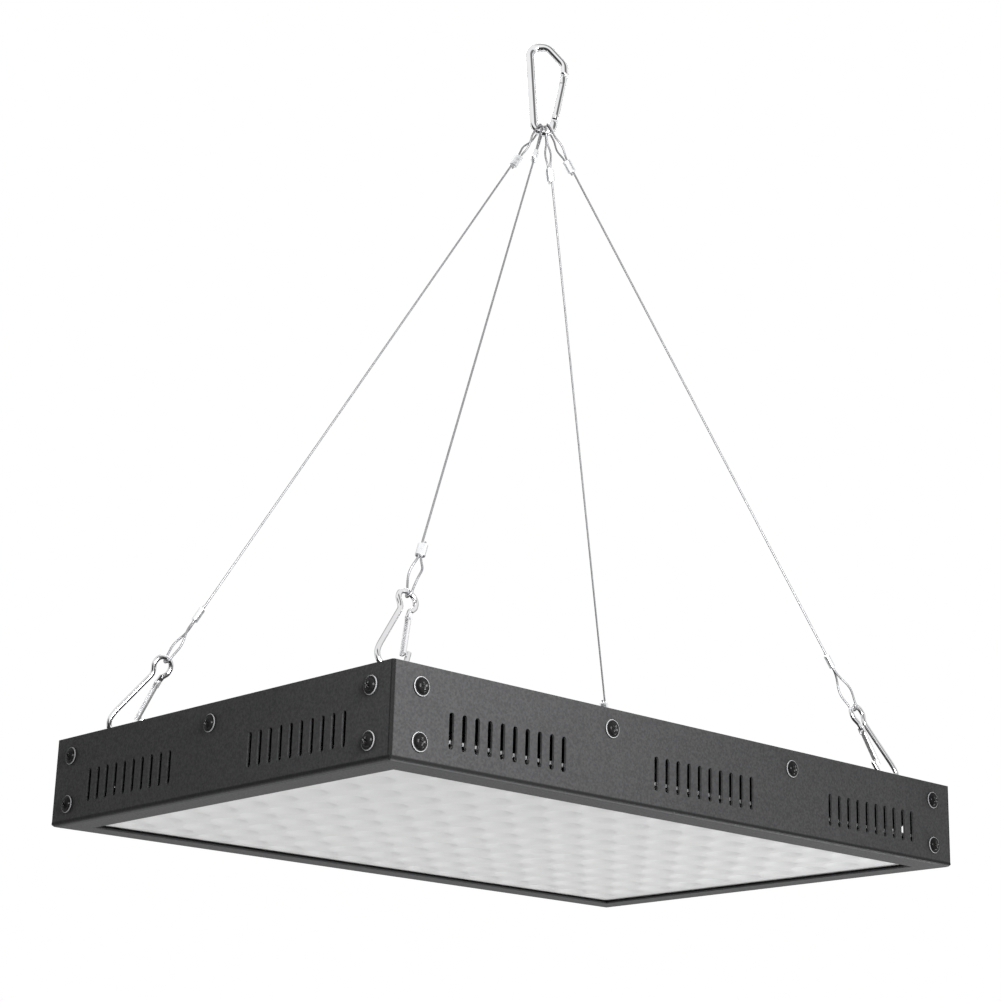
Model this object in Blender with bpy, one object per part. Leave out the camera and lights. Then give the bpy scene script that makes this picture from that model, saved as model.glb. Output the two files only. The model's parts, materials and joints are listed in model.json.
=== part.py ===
"""LED grow light: a slotted sheet-metal box with a cupped light panel, hung by four wire slings
from one carabiner. Metres, +Z up. The origin is the carabiner's bearing, where it hangs."""

import math

import bmesh
import bpy
import numpy as np
from mathutils import Matrix, Vector

# Housing
LENGTH = 0.420
WIDTH = 0.280
HEIGHT = 0.047
SHEET = 0.0012
LIP = 0.016
BEND_RADIUS = 0.0025
CORNER_RADIUS = 0.0008
GAP = 0.0003

# Slots in the walls
SLOT_WIDTH = 0.003
SLOT_LOW = 0.0101
SLOT_HIGH = 0.0277
SLOT_PITCH = 0.00805
SLOTS_IN_GROUP = 10
LONG_GROUP_PITCH = 0.1375
SHORT_GROUP_PITCH = 0.1398

# Side screws
SCREW_TOP_INSET = 0.0104
SCREW_HIGH = HEIGHT - SCREW_TOP_INSET
SCREW_LOW = 0.0107
LONG_SCREW_INSET = 0.0168
SHORT_SCREW_INSET = 0.0149
SHANK_RADIUS = 0.002
SCREW_REACH = 0.005
HEAD_RADIUS = 0.0034
HEAD_HEIGHT = 0.0026
FLANGE_RADIUS = 0.0047
FLANGE_HEIGHT = 0.0008

# Inside stack, from the lip up
GASKET = 0.0005
GASKET_SETBACK = 0.002
GASKET_WIDTH = 0.006
PANEL_PLATE = 0.003
PANEL_RIM = 0.002
PANEL_OVERLAP = 0.010
PANEL_HEIGHT = 0.0087
BOARD = 0.0016
BOARD_MARGIN = 0.003
SINK_PLATE = 0.0016
TAB_WIDTH = 0.014
TAB_SHEET = 0.0015
TAB_FOOT = 0.0055
DRIVER_SIZE = (0.088, 0.150, 0.024)
DRIVER_Y = 0.020

# Top cover, fans and inlet
COVER_DROP = 0.0005
COVER_FLANGE = 0.016
FAN_SIZE = 0.080
FAN_DEPTH = 0.025
FAN_BORE = 0.0385
FAN_X = 0.098
FAN_STRUT = 0.004
MOTOR_RADIUS = 0.016
BLADES = 7
BLADE_TIP_GAP = 0.0012
BLADE_SHEET = 0.0016
GRILLE_RADII = (0.0205, 0.0280, 0.0355)
GRILLE_SLOT = 0.0050
GRILLE_BRIDGE = 0.0045
INLET_Y = -0.104
INLET_BODY = (0.0270, 0.0195)
INLET_DEPTH = 0.024
INLET_FLANGE = (0.048, 0.0225)
INLET_FLANGE_SHEET = 0.0028
INLET_CAVITY = (0.0235, 0.0160)
INLET_CAVITY_DEPTH = 0.017
INLET_PIN = (0.002, 0.004)
INLET_PIN_PITCH = 0.007
INLET_PIN_LENGTH = 0.011

# Hanging eyes and snap hooks
EYE_INSET_X = 0.0182
EYE_INSET_Y = 0.0262
EYE_WIRE = 0.0015
EYE_SPAN = 0.013
EYE_LEG_DROP = 0.006
EYE_LEG_FOOT = HEIGHT - EYE_LEG_DROP
EYE_NUT_RADIUS = 0.0035
EYE_NUT_HEIGHT = 0.0018
HOOK_WIRE = 0.0014
HOOK_RISE = 0.0012
HOOK_FLOOR = HEIGHT + HOOK_WIRE + HOOK_RISE
HOOK_TOP = 0.0500
HOOK_NOSE = 0.0087
HOOK_LOBE = 0.0080
HOOK_LOBE_RADIUS = 0.0062
HOOK_SHOULDER = 0.0090
HOOK_WAIST = (0.0022, 0.0388)
HOOK_EYE = 0.0050
HOOK_EYE_RADIUS = 0.0047
GATE_PIVOT = (0.0033, 0.0369)
GATE_TIP = (0.0060, 0.0134)
GATE_WIDTH = 0.0034
GATE_DEPTH = 0.0018
GATE_SHEET = 0.0008
GATE_PIN = 0.0006
TAB_HALF = 0.0006
TAB_ROUND = 0.0015

# Wire slings
WIRE = 0.0006
FERRULE_LENGTH = 0.0086
FERRULE_HALF = (0.0026, 0.0016)
STRAND_HALF = 0.00075
UPPER_LOOP = 0.0218
LOWER_LOOP = 0.0256
UPPER_BULGE = 0.0008
LOWER_BULGE = 0.0026
DEAD_END = 0.0015
LOOP_SLACK = 0.00035
OUTER_SLACK = 0.0006

# Carabiner
ROD = 0.0023
CARABINER_TURN = math.radians(-45.0)
HANG_HEIGHT = 0.4954
HANG_OFFSET = 0.0023
BOW_HEIGHT = 0.0556
BOW_CENTRE = 0.0020
BOW_RADIUS = 0.0057
CARABINER_PIVOT = (0.0089, 0.0100)
CARABINER_TIP = (0.0136, 0.0376)
SLEEVE_WALL = 0.0003
SLEEVE = ROD + SLEEVE_WALL
RIVET = 0.0009
KNUCKLE = 0.0011


def clear_scene():
    for old in list(bpy.data.objects):
        bpy.data.objects.remove(old)


def material(name, colour, roughness, metallic=0.0):
    made = bpy.data.materials.new(name)
    made.use_nodes = True
    shader = made.node_tree.nodes["Principled BSDF"]
    shader.inputs["Base Color"].default_value = (*colour, 1.0)
    shader.inputs["Roughness"].default_value = roughness
    shader.inputs["Metallic"].default_value = metallic
    return made


def object_of(name, points, faces, finish, parent=None):
    mesh = bpy.data.meshes.new(name)
    mesh.from_pydata([tuple(map(float, p)) for p in points], [], [tuple(map(int, f)) for f in faces])
    mesh.materials.append(finish)
    made = bpy.data.objects.new(name, mesh)
    made.parent = parent
    bpy.context.scene.collection.objects.link(made)
    return made


def copy_of(name, first, parent):
    made = bpy.data.objects.new(name, first.data)
    made.parent = parent
    bpy.context.scene.collection.objects.link(made)
    return made


def helper(made):
    made.hide_render = True
    made.display_type = "WIRE"
    return made


def join(parts):
    """Several (points, faces) shapes as one list of each."""
    points = []
    faces = []
    for some_points, some_faces in parts:
        start = len(points)
        points.extend(some_points)
        faces.extend([[start + i for i in face] for face in some_faces])
    return points, faces


def prism(outline, low, high, axis="Z"):
    """An outline, anticlockwise seen against the axis, drawn out along it from low to high."""
    place = {
        "Z": lambda a, b, c: (a, b, c),
        "Y": lambda a, b, c: (b, c, a),
        "X": lambda a, b, c: (c, a, b),
    }[axis]
    count = len(outline)
    points = [place(a, b, low) for a, b in outline] + [place(a, b, high) for a, b in outline]
    faces = [list(range(count))[::-1], list(range(count, 2 * count))]
    for i in range(count):
        after = (i + 1) % count
        faces.append([i, after, after + count, i + count])
    return points, faces


def rectangle(low, high):
    return [(low[0], low[1]), (high[0], low[1]), (high[0], high[1]), (low[0], high[1])]


def block(low, high):
    return prism(rectangle(low[:2], high[:2]), low[2], high[2])


def centred_block(half_x, half_y, low, high):
    return block((-half_x, -half_y, low), (half_x, half_y, high))


def circle(centre, radius, count):
    turns = [2 * math.pi * (i + 0.5) / count for i in range(count)]
    return [(centre[0] + radius * math.cos(t), centre[1] + radius * math.sin(t)) for t in turns]


def stadium(start, end, radius, steps):
    """A slot's outline round the line from start to end, anticlockwise."""
    along = math.atan2(end[1] - start[1], end[0] - start[0])
    outline = []
    for centre, first in ((end, along - math.pi / 2), (start, along + math.pi / 2)):
        for i in range(steps + 1):
            turn = first + math.pi * i / steps
            outline.append((centre[0] + radius * math.cos(turn), centre[1] + radius * math.sin(turn)))
    return outline


def turned(profile, sides):
    """A profile of (radius, height) pairs from the bottom up, turned about Z, with a point at each pole."""
    points = [(0.0, 0.0, profile[0][1])]
    for radius, height in profile:
        for x, y in circle((0, 0), radius, sides):
            points.append((x, y, height))
    points.append((0.0, 0.0, profile[-1][1]))
    last = len(points) - 1
    faces = []
    for k in range(sides):
        after = (k + 1) % sides
        faces.append([0, 1 + after, 1 + k])
        for ring in range(len(profile) - 1):
            below = 1 + ring * sides
            above = below + sides
            faces.append([below + k, below + after, above + after, above + k])
        top = 1 + (len(profile) - 1) * sides
        faces.append([top + k, top + after, last])
    return points, faces


def filleted(corners, steps):
    """A path through (point, radius) corners, each rounded by an arc of that radius."""
    path = []
    for i, (corner, radius) in enumerate(corners):
        here = Vector(corner)
        if radius == 0.0:
            path.append(here)
            continue
        back = (Vector(corners[i - 1][0]) - here).normalized()
        ahead = (Vector(corners[i + 1][0]) - here).normalized()
        half = back.angle(ahead) / 2
        middle = here + (back + ahead).normalized() * radius / math.sin(half)
        first = here + back * radius / math.tan(half) - middle
        sweep = math.pi - 2 * half
        side = ahead.cross(back).normalized()
        for step in range(steps + 1):
            path.append(middle + Matrix.Rotation(sweep * step / steps, 3, side) @ first)
    return path


def tube(path, radius, sides, side_way):
    """A round bar along a path. side_way is a direction that the path never follows."""
    rings = []
    for i, here in enumerate(path):
        before = path[max(i - 1, 0)]
        after = path[min(i + 1, len(path) - 1)]
        along = (after - before).normalized()
        across = (side_way - along * side_way.dot(along)).normalized()
        up = along.cross(across)
        for x, y in circle((0, 0), radius, sides):
            rings.append(here + across * x + up * y)
    count = len(path)
    faces = [list(range(sides))[::-1], list(range((count - 1) * sides, count * sides))]
    for i in range(count - 1):
        for k in range(sides):
            after = (k + 1) % sides
            faces.append([i * sides + k, i * sides + after, (i + 1) * sides + after, (i + 1) * sides + k])
    return rings, faces


def boolean(target, other, operation):
    change = target.modifiers.new(f"{operation.lower()}_{other.name}", "BOOLEAN")
    change.operation = operation
    change.object = other
    change.solver = "EXACT"


def cut(target, name, shape, parent):
    boolean(target, helper(object_of(name, *shape, target.data.materials[0], parent)), "DIFFERENCE")


def add(target, name, shape, parent):
    boolean(target, helper(object_of(name, *shape, target.data.materials[0], parent)), "UNION")


def smooth(made, degrees=35.0):
    made.data.shade_smooth()
    made.data.set_sharp_from_angle(angle=math.radians(degrees))


# Places that several pieces share
INNER_X = LENGTH / 2 - SHEET
INNER_Y = WIDTH / 2 - SHEET
OPEN_X = LENGTH / 2 - LIP
OPEN_Y = WIDTH / 2 - LIP
GASKET_FLOOR = SHEET + GAP
PANEL_FLOOR = GASKET_FLOOR + GASKET + GAP
BOARD_FLOOR = PANEL_FLOOR + PANEL_HEIGHT + GAP
SINK_FLOOR = BOARD_FLOOR + BOARD + GAP
SINK_TOP = SINK_FLOOR + SINK_PLATE
COVER_TOP = HEIGHT - COVER_DROP
COVER_UNDER = COVER_TOP - SHEET
HOLE_RADIUS = SHANK_RADIUS + GAP
LONG_SCREWS = [
    (side * (LENGTH / 2 - LONG_SCREW_INSET), height)
    for side in (-1, 1)
    for height in (SCREW_LOW, SCREW_HIGH)
] + [(side * LONG_GROUP_PITCH / 2, SCREW_HIGH) for side in (-1, 1)]
SHORT_SCREWS = [
    (side * (WIDTH / 2 - SHORT_SCREW_INSET), height)
    for side in (-1, 1)
    for height in (SCREW_LOW, SCREW_HIGH)
] + [(0.0, SCREW_HIGH)]


def group_centres(groups, pitch):
    return [pitch * (i - (groups - 1) / 2) for i in range(groups)]


def slots(groups, group_pitch, reach, axis):
    """All slots of two opposite walls, each cutter running through both."""
    low = SLOT_LOW + SLOT_WIDTH / 2
    high = SLOT_HIGH - SLOT_WIDTH / 2
    made = []
    for centre in group_centres(groups, group_pitch):
        for place in group_centres(SLOTS_IN_GROUP, SLOT_PITCH):
            at = centre + place
            ends = ((low, at), (high, at)) if axis == "Y" else ((at, low), (at, high))
            made.append(prism(stadium(*ends, SLOT_WIDTH / 2, 4), -reach, reach, axis))
    return join(made)


def screw_holes():
    """Short cutters through the walls and what stands behind them, at each screw."""
    made = []
    depth = SHEET + GAP + TAB_SHEET + GAP
    for side in (-1, 1):
        for along, height in LONG_SCREWS:
            near, far = sorted((side * (WIDTH / 2 + GAP), side * (WIDTH / 2 - depth)))
            made.append(prism(circle((height, along), HOLE_RADIUS, 10), near, far, "Y"))
        for along, height in SHORT_SCREWS:
            near, far = sorted((side * (LENGTH / 2 + GAP), side * (LENGTH / 2 - depth)))
            made.append(prism(circle((along, height), HOLE_RADIUS, 10), near, far, "X"))
    return join(made)


def bevel_edges(made, wanted, radius, segments):
    shape = bmesh.new()
    shape.from_mesh(made.data)
    edges = [edge for edge in shape.edges if wanted(*(v.co for v in edge.verts))]
    bmesh.ops.bevel(shape, geom=edges, offset=radius, segments=segments, profile=0.5, affect="EDGES")
    shape.to_mesh(made.data)
    shape.free()


def upright(a, b):
    return abs(a.z - b.z) > 1e-6


def housing_tray(frame, paint, holes):
    outer = centred_block(LENGTH / 2, WIDTH / 2, 0.0, HEIGHT)
    tray = object_of("housing_tray", *outer, paint, frame)
    bevel_edges(tray, lambda a, b: a.z < 1e-6 and b.z < 1e-6, BEND_RADIUS, 3)
    low = BEND_RADIUS + 1e-5
    bevel_edges(tray, lambda a, b: upright(a, b) and max(a.z, b.z) > low and abs(a.y - b.y) < 1e-7
                and abs(a.x - b.x) < 1e-7, CORNER_RADIUS, 1)
    cut(tray, "tray_hollow", centred_block(INNER_X, INNER_Y, SHEET, HEIGHT + SHEET), frame)
    cut(tray, "tray_mouth", centred_block(OPEN_X, OPEN_Y, -SHEET, 2 * SHEET), frame)
    cut(tray, "long_slots", slots(3, LONG_GROUP_PITCH, WIDTH / 2 + SHEET, "Y"), frame)
    cut(tray, "short_slots", slots(2, SHORT_GROUP_PITCH, LENGTH / 2 + SHEET, "X"), frame)
    boolean(tray, holes, "DIFFERENCE")
    return tray


def gasket(frame, rubber):
    half_x = OPEN_X + GASKET_SETBACK + GASKET_WIDTH
    half_y = OPEN_Y + GASKET_SETBACK + GASKET_WIDTH
    top = GASKET_FLOOR + GASKET
    made = object_of("panel_gasket", *centred_block(half_x, half_y, GASKET_FLOOR, top), rubber, frame)
    mouth = centred_block(half_x - GASKET_WIDTH, half_y - GASKET_WIDTH, 0.0, top + GASKET)
    cut(made, "gasket_mouth", mouth, frame)


def light_panel(frame, plastic):
    half_x = OPEN_X + PANEL_OVERLAP
    half_y = OPEN_Y + PANEL_OVERLAP
    top = PANEL_FLOOR + PANEL_HEIGHT
    made = object_of("light_panel", *centred_block(half_x, half_y, PANEL_FLOOR, top), plastic, frame)
    hollow = centred_block(half_x - PANEL_RIM, half_y - PANEL_RIM, PANEL_FLOOR + PANEL_PLATE, top + PANEL_RIM)
    cut(made, "panel_hollow", hollow, frame)


def led_board(frame, finish):
    half_x = OPEN_X + PANEL_OVERLAP - BOARD_MARGIN
    half_y = OPEN_Y + PANEL_OVERLAP - BOARD_MARGIN
    board = centred_block(half_x, half_y, BOARD_FLOOR, BOARD_FLOOR + BOARD)
    object_of("led_board", *board, finish, frame)


def heat_sink(frame, metal, holes):
    """A flat plate with a tab turned down behind each low screw."""
    half_x = INNER_X - GAP
    half_y = INNER_Y - GAP
    plate = object_of("heat_sink", *centred_block(half_x, half_y, SINK_FLOOR, SINK_TOP), metal, frame)
    tabs = []
    top = SINK_FLOOR + SINK_PLATE / 2
    for side in (-1, 1):
        for along, height in LONG_SCREWS:
            if height == SCREW_LOW:
                y = sorted((side * half_y, side * (half_y - TAB_SHEET)))
                tabs.append(block((along - TAB_WIDTH / 2, y[0], TAB_FOOT), (along + TAB_WIDTH / 2, y[1], top)))
        for along, height in SHORT_SCREWS:
            if height == SCREW_LOW:
                x = sorted((side * half_x, side * (half_x - TAB_SHEET)))
                tabs.append(block((x[0], along - TAB_WIDTH / 2, TAB_FOOT), (x[1], along + TAB_WIDTH / 2, top)))
    add(plate, "sink_tabs", join(tabs), frame)
    boolean(plate, holes, "DIFFERENCE")


def driver(frame, metal):
    x, y, z = DRIVER_SIZE
    floor = SINK_TOP + GAP
    made = object_of("led_driver", *block((-x / 2, DRIVER_Y - y / 2, floor), (x / 2, DRIVER_Y + y / 2, floor + z)),
                     metal, frame)
    bevel_edges(made, lambda a, b: min(a.z, b.z) > floor, 0.0015, 1)


def grille_arc(centre, radius, quarter):
    """One curved slot of a grille ring, a quarter turn less its bridge."""
    inner = radius - GRILLE_SLOT / 2
    outer = radius + GRILLE_SLOT / 2
    steps = 5
    outline = []
    for edge, order in ((inner, range(steps, -1, -1)), (outer, range(steps + 1))):
        trim = math.asin(GRILLE_BRIDGE / 2 / edge)
        for i in order:
            turn = quarter * math.pi / 2 + trim + (math.pi / 2 - 2 * trim) * i / steps
            outline.append((centre[0] + edge * math.cos(turn), centre[1] + edge * math.sin(turn)))
    return outline


def eye_centre(corner):
    """The middle of a hanging eye's bar: the hook's floor, moved up the sling by the two bars and a gap."""
    return hook_floor(corner) + sling_way(corner) * (HOOK_WIRE + EYE_WIRE + GAP)


def top_cover(frame, paint, holes):
    half_x = INNER_X - GAP
    half_y = INNER_Y - GAP
    low = COVER_UNDER - COVER_FLANGE
    made = object_of("top_cover", *centred_block(half_x, half_y, low, COVER_TOP), paint, frame)
    cut(made, "cover_hollow", centred_block(half_x - SHEET, half_y - SHEET, low - SHEET, COVER_UNDER), frame)
    through = (COVER_UNDER - SHEET, COVER_TOP + SHEET)
    openings = []
    for side in (-1, 1):
        for radius in GRILLE_RADII:
            for quarter in range(4):
                openings.append(prism(grille_arc((side * FAN_X, 0.0), radius, quarter), *through))
    for corner in CORNERS:
        bar = eye_centre(corner)
        for side in (-1, 1):
            leg = (bar.x, bar.y + side * EYE_SPAN / 2)
            openings.append(prism(circle(leg, EYE_WIRE + GAP, 8), *through))
    x, y = (INLET_BODY[0] / 2 + GAP, INLET_BODY[1] / 2 + GAP)
    openings.append(prism(rectangle((-x, INLET_Y - y), (x, INLET_Y + y)), *through))
    cut(made, "cover_openings", join(openings), frame)
    boolean(made, holes, "DIFFERENCE")


def fan(frame, number, side, plastic, rotor_plastic):
    """A square frame with a motor seat on struts, and a bladed rotor that turns on it."""
    top = COVER_UNDER - GAP
    floor = top - FAN_DEPTH
    x = side * FAN_X
    half = FAN_SIZE / 2
    outline = rectangle((x - half, -half), (x + half, half))
    shell = object_of(f"fan_frame_{number}", *prism(outline, floor, top), plastic, frame)
    bevel_edges(shell, upright, 0.004, 1)
    cut(shell, f"fan_bore_{number}", prism(circle((x, 0.0), FAN_BORE, 24), floor - GAP, top + GAP), frame)
    seat = 0.003
    strut = FAN_STRUT / 2
    reach = FAN_BORE + 0.0005
    add(shell, f"fan_strut_a_{number}", block((x - reach, -strut, floor + GAP), (x + reach, strut, floor + seat)), frame)
    add(shell, f"fan_strut_b_{number}", block((x - strut, -reach, floor + GAP), (x + strut, reach, floor + seat)), frame)
    motor = prism(circle((x, 0.0), MOTOR_RADIUS, 16), floor, floor + seat + GAP)
    add(shell, f"fan_seat_{number}", motor, frame)
    rotor_floor = floor + seat + 2 * GAP
    rotor_height = FAN_DEPTH - seat - 2 * GAP - 0.0012
    hub = turned([(MOTOR_RADIUS, 0.0), (MOTOR_RADIUS, rotor_height - 0.001), (MOTOR_RADIUS - 0.001, rotor_height)], 16)
    rotor = object_of(f"fan_rotor_{number}", *hub, rotor_plastic, frame)
    rotor.location = (x, 0.0, rotor_floor)
    blades = helper(object_of(f"fan_blades_{number}", *fan_blades(rotor_height), rotor_plastic, rotor))
    boolean(rotor, blades, "UNION")
    smooth(rotor)
    return rotor


def fan_blades(height):
    """Twisted plates from inside the hub to just short of the bore."""
    tip = FAN_BORE - BLADE_TIP_GAP
    root = MOTOR_RADIUS - 0.002
    steps = 3
    made = []
    for blade in range(BLADES):
        points = []
        for step in range(steps + 1):
            share = step / steps
            radius = root + (tip - root) * share
            turn = 2 * math.pi * blade / BLADES + 0.35 * share
            lean = 0.30 + 0.10 * share
            for low in (True, False):
                for face in (-1, 1):
                    z = 0.0015 if low else height - 0.0015
                    slant = (-lean if low else lean) + face * BLADE_SHEET / 2 / radius
                    points.append((radius * math.cos(turn + slant), radius * math.sin(turn + slant), z))
        faces = [[0, 2, 3, 1], [4 * steps + 0, 4 * steps + 1, 4 * steps + 3, 4 * steps + 2]]
        for step in range(steps):
            a = 4 * step
            b = a + 4
            faces += [[a, a + 1, b + 1, b], [a + 2, b + 2, b + 3, a + 3]]
            faces += [[a, b, b + 2, a + 2], [a + 1, a + 3, b + 3, b + 1]]
        made.append((points, faces))
    return join(made)


def mains_inlet(frame, plastic):
    """A three-pin appliance inlet, its flange on the cover and its body below."""
    top = COVER_TOP + GAP + INLET_FLANGE_SHEET
    half_x, half_y = (INLET_FLANGE[0] / 2, INLET_FLANGE[1] / 2)
    flange = block((-half_x, INLET_Y - half_y, COVER_TOP + GAP), (half_x, INLET_Y + half_y, top))
    made = object_of("mains_inlet", *flange, plastic, frame)
    bevel_edges(made, upright, 0.004, 2)
    half_x, half_y = (INLET_BODY[0] / 2, INLET_BODY[1] / 2)
    floor = top - INLET_DEPTH
    body = block((-half_x, INLET_Y - half_y, floor), (half_x, INLET_Y + half_y, top - GAP))
    add(made, "inlet_body", body, frame)
    half_x, half_y = (INLET_CAVITY[0] / 2, INLET_CAVITY[1] / 2)
    chamfer = 0.004
    outline = [
        (-half_x, INLET_Y - half_y),
        (half_x, INLET_Y - half_y),
        (half_x, INLET_Y + half_y - chamfer),
        (half_x - chamfer, INLET_Y + half_y),
        (-half_x + chamfer, INLET_Y + half_y),
        (-half_x, INLET_Y + half_y - chamfer),
    ]
    deep = top - INLET_CAVITY_DEPTH
    cut(made, "inlet_cavity", prism(outline, deep, top + GAP), frame)
    pins = []
    for place, rise in ((-1, -0.001), (0, 0.003), (1, -0.001)):
        x = place * INLET_PIN_PITCH
        y = INLET_Y + rise
        low = (x - INLET_PIN[0] / 2, y - INLET_PIN[1] / 2, deep - 0.001)
        high = (x + INLET_PIN[0] / 2, y + INLET_PIN[1] / 2, deep + INLET_PIN_LENGTH)
        pins.append(block(low, high))
    add(made, "inlet_pins", join(pins), frame)


def side_screws(frame, finish):
    """One screw for each wall hole, its head outwards along local +Z."""
    profile = [
        (SHANK_RADIUS, -SCREW_REACH),
        (SHANK_RADIUS, GAP),
        (FLANGE_RADIUS, GAP),
        (FLANGE_RADIUS, GAP + FLANGE_HEIGHT),
        (HEAD_RADIUS, GAP + FLANGE_HEIGHT),
        (HEAD_RADIUS * 0.72, GAP + HEAD_HEIGHT),
    ]
    places = []
    for side, name in ((-1, "front"), (1, "back")):
        turn = Matrix.Rotation(-side * math.pi / 2, 4, "X")
        for i, (along, height) in enumerate(LONG_SCREWS):
            places.append((f"screw_{name}_{i + 1}", (along, side * WIDTH / 2, height), turn))
    for side, name in ((-1, "left"), (1, "right")):
        turn = Matrix.Rotation(side * math.pi / 2, 4, "Y")
        for i, (along, height) in enumerate(SHORT_SCREWS):
            places.append((f"screw_{name}_{i + 1}", (side * LENGTH / 2, along, height), turn))
    first = None
    for name, place, turn in places:
        if first is None:
            first = object_of(name, *turned(profile, 8), finish, frame)
            made = first
        else:
            made = copy_of(name, first, frame)
        made.matrix_local = Matrix.Translation(place) @ turn


# The four corners: name, side in x, side in y, and the sling's bearing in degrees round the carabiner's bow
CORNERS = [
    ("near", -1, -1, -12.5),
    ("left", -1, 1, -41.0),
    ("right", 1, -1, 41.0),
    ("back", 1, 1, 12.5),
]


def hook_floor(corner):
    _, side_x, side_y, _ = corner
    return Vector((side_x * (LENGTH / 2 - EYE_INSET_X), side_y * (WIDTH / 2 - EYE_INSET_Y), HOOK_FLOOR))


def bar_centre(corner):
    """Where a sling bears on the carabiner's bow, in the housing's frame."""
    turn = math.radians(corner[3])
    along = BOW_CENTRE + BOW_RADIUS * math.sin(turn)
    along += HANG_OFFSET
    height = HANG_HEIGHT - BOW_HEIGHT + BOW_RADIUS * (1 - math.cos(turn))
    return Vector((along * math.cos(CARABINER_TURN), along * math.sin(CARABINER_TURN), height))


def sling_way(corner):
    return (bar_centre(corner) - hook_floor(corner)).normalized()


def hook_turn(corner):
    """Local X to the gate's side, Y across the hook's plane, Z up the sling."""
    up = sling_way(corner)
    inward = Vector((-corner[1], 0.0, 0.0))
    gate_way = (inward - up * inward.dot(up)).normalized()
    across = up.cross(gate_way)
    return Matrix((gate_way, across, up)).transposed()


def flat(points):
    return [((x, 0.0, z), radius) for x, z, radius in points]


def hanging_eyes(frame, metal):
    """A staple of bent bar over each hook, its legs through the cover with a nut on each below."""
    for corner in CORNERS:
        bar = eye_centre(corner)
        half = EYE_SPAN / 2
        corners = [
            ((bar.x, bar.y - half, EYE_LEG_FOOT), 0.0),
            ((bar.x, bar.y - half, bar.z), 0.003),
            ((bar.x, bar.y + half, bar.z), 0.003),
            ((bar.x, bar.y + half, EYE_LEG_FOOT), 0.0),
        ]
        shape = tube(filleted(corners, 3), EYE_WIRE, 8, Vector((1.0, 0.0, 0.0)))
        made = object_of(f"hanging_eye_{corner[0]}", *shape, metal, frame)
        top = COVER_UNDER - GAP
        nuts = []
        for side in (-1, 1):
            place = (bar.x, bar.y + side * half)
            nuts.append(prism(circle(place, EYE_NUT_RADIUS, 6), top - EYE_NUT_HEIGHT, top))
        add(made, f"eye_nuts_{corner[0]}", join(nuts), frame)
        smooth(made, 50.0)


def hook_path():
    waist_x, waist_z = HOOK_WAIST
    pivot_x, pivot_z = GATE_PIVOT
    return filleted(flat([
        (HOOK_NOSE, 0.0170, 0.0),
        (HOOK_NOSE, 0.0, HOOK_LOBE_RADIUS),
        (-HOOK_LOBE, 0.0, HOOK_LOBE_RADIUS),
        (-HOOK_LOBE, HOOK_SHOULDER, 0.025),
        (-waist_x, waist_z, 0.005),
        (-HOOK_EYE - 0.0004, 0.0434, 0.004),
        (-HOOK_EYE, HOOK_TOP, HOOK_EYE_RADIUS),
        (HOOK_EYE, HOOK_TOP, HOOK_EYE_RADIUS),
        (HOOK_EYE + 0.0004, 0.0436, 0.003),
        (pivot_x, pivot_z + 0.0026, 0.0),
    ]), 3)


def snap_hooks(frame, metal):
    """Each hook is a bent wire with a drilled tab at its waist, and a folded gate hinged on the tab."""
    pivot = GATE_PIVOT
    body = None
    gate = None
    for corner in CORNERS:
        turn = Matrix.Translation(hook_floor(corner)) @ hook_turn(corner).to_4x4()
        name = corner[0]
        if body is None:
            shape = tube(hook_path(), HOOK_WIRE, 6, Vector((0.0, 1.0, 0.0)))
            body = object_of(f"hook_body_{name}", *shape, metal, frame)
            outline = stadium((pivot[1], pivot[0]), (pivot[1] + 0.0032, pivot[0] + 0.0002), TAB_ROUND, 4)
            add(body, "hook_tab", prism(outline, -TAB_HALF, TAB_HALF, "Y"), frame)
            hole = prism(circle((pivot[1], pivot[0]), GATE_PIN + GAP, 8), -2 * HOOK_WIRE, 2 * HOOK_WIRE, "Y")
            cut(body, "hook_pin_hole", hole, frame)
            bake(body)
            smooth(body)
            made = body
            gate = hook_gate(name, metal, frame)
            flap = gate
        else:
            made = copy_of(f"hook_body_{name}", body, frame)
            flap = copy_of(f"hook_gate_{name}", gate, frame)
        made.matrix_local = turn
        flap.matrix_local = turn @ Matrix.Translation((pivot[0], 0.0, pivot[1]))


def hook_gate(name, metal, frame):
    """A channel of sheet from the pivot to the nose, with a pin across its cheeks. The pivot is its origin."""
    run = Vector((GATE_TIP[0] - GATE_PIVOT[0], GATE_TIP[1] - GATE_PIVOT[1]))
    length = run.length
    lean = math.atan2(run.x, -run.y)
    half = GATE_WIDTH / 2
    depth = GATE_DEPTH / 2
    cheek = (-half, -half + GATE_SHEET)
    web = block((depth - GATE_SHEET, -half, -length), (depth, half, -TAB_ROUND - 2 * GAP))
    made = object_of(f"hook_gate_{name}", *web, metal, frame)
    for side in (-1, 1):
        y = sorted((side * cheek[0], side * cheek[1]))
        side_plate = block((-depth, y[0], -length + GAP), (depth - GAP / 2, y[1], 0.0011))
        add(made, f"gate_cheek_{side}", side_plate, frame)
    add(made, "gate_pin", prism(circle((0.0, 0.0), GATE_PIN, 8), -half + GAP, half - GAP, "Y"), frame)
    bake(made)
    made.data.transform(Matrix.Rotation(-lean, 4, "Y"))
    return made


def bake(made):
    """Applies an object's modifiers to its mesh, so that copies can share it, and removes the cutters."""
    others = [change.object for change in made.modifiers]
    graph = bpy.context.evaluated_depsgraph_get()
    mesh = bpy.data.meshes.new_from_object(made.evaluated_get(graph))
    made.modifiers.clear()
    made.data = mesh
    for other in others:
        bpy.data.objects.remove(other)


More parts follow.
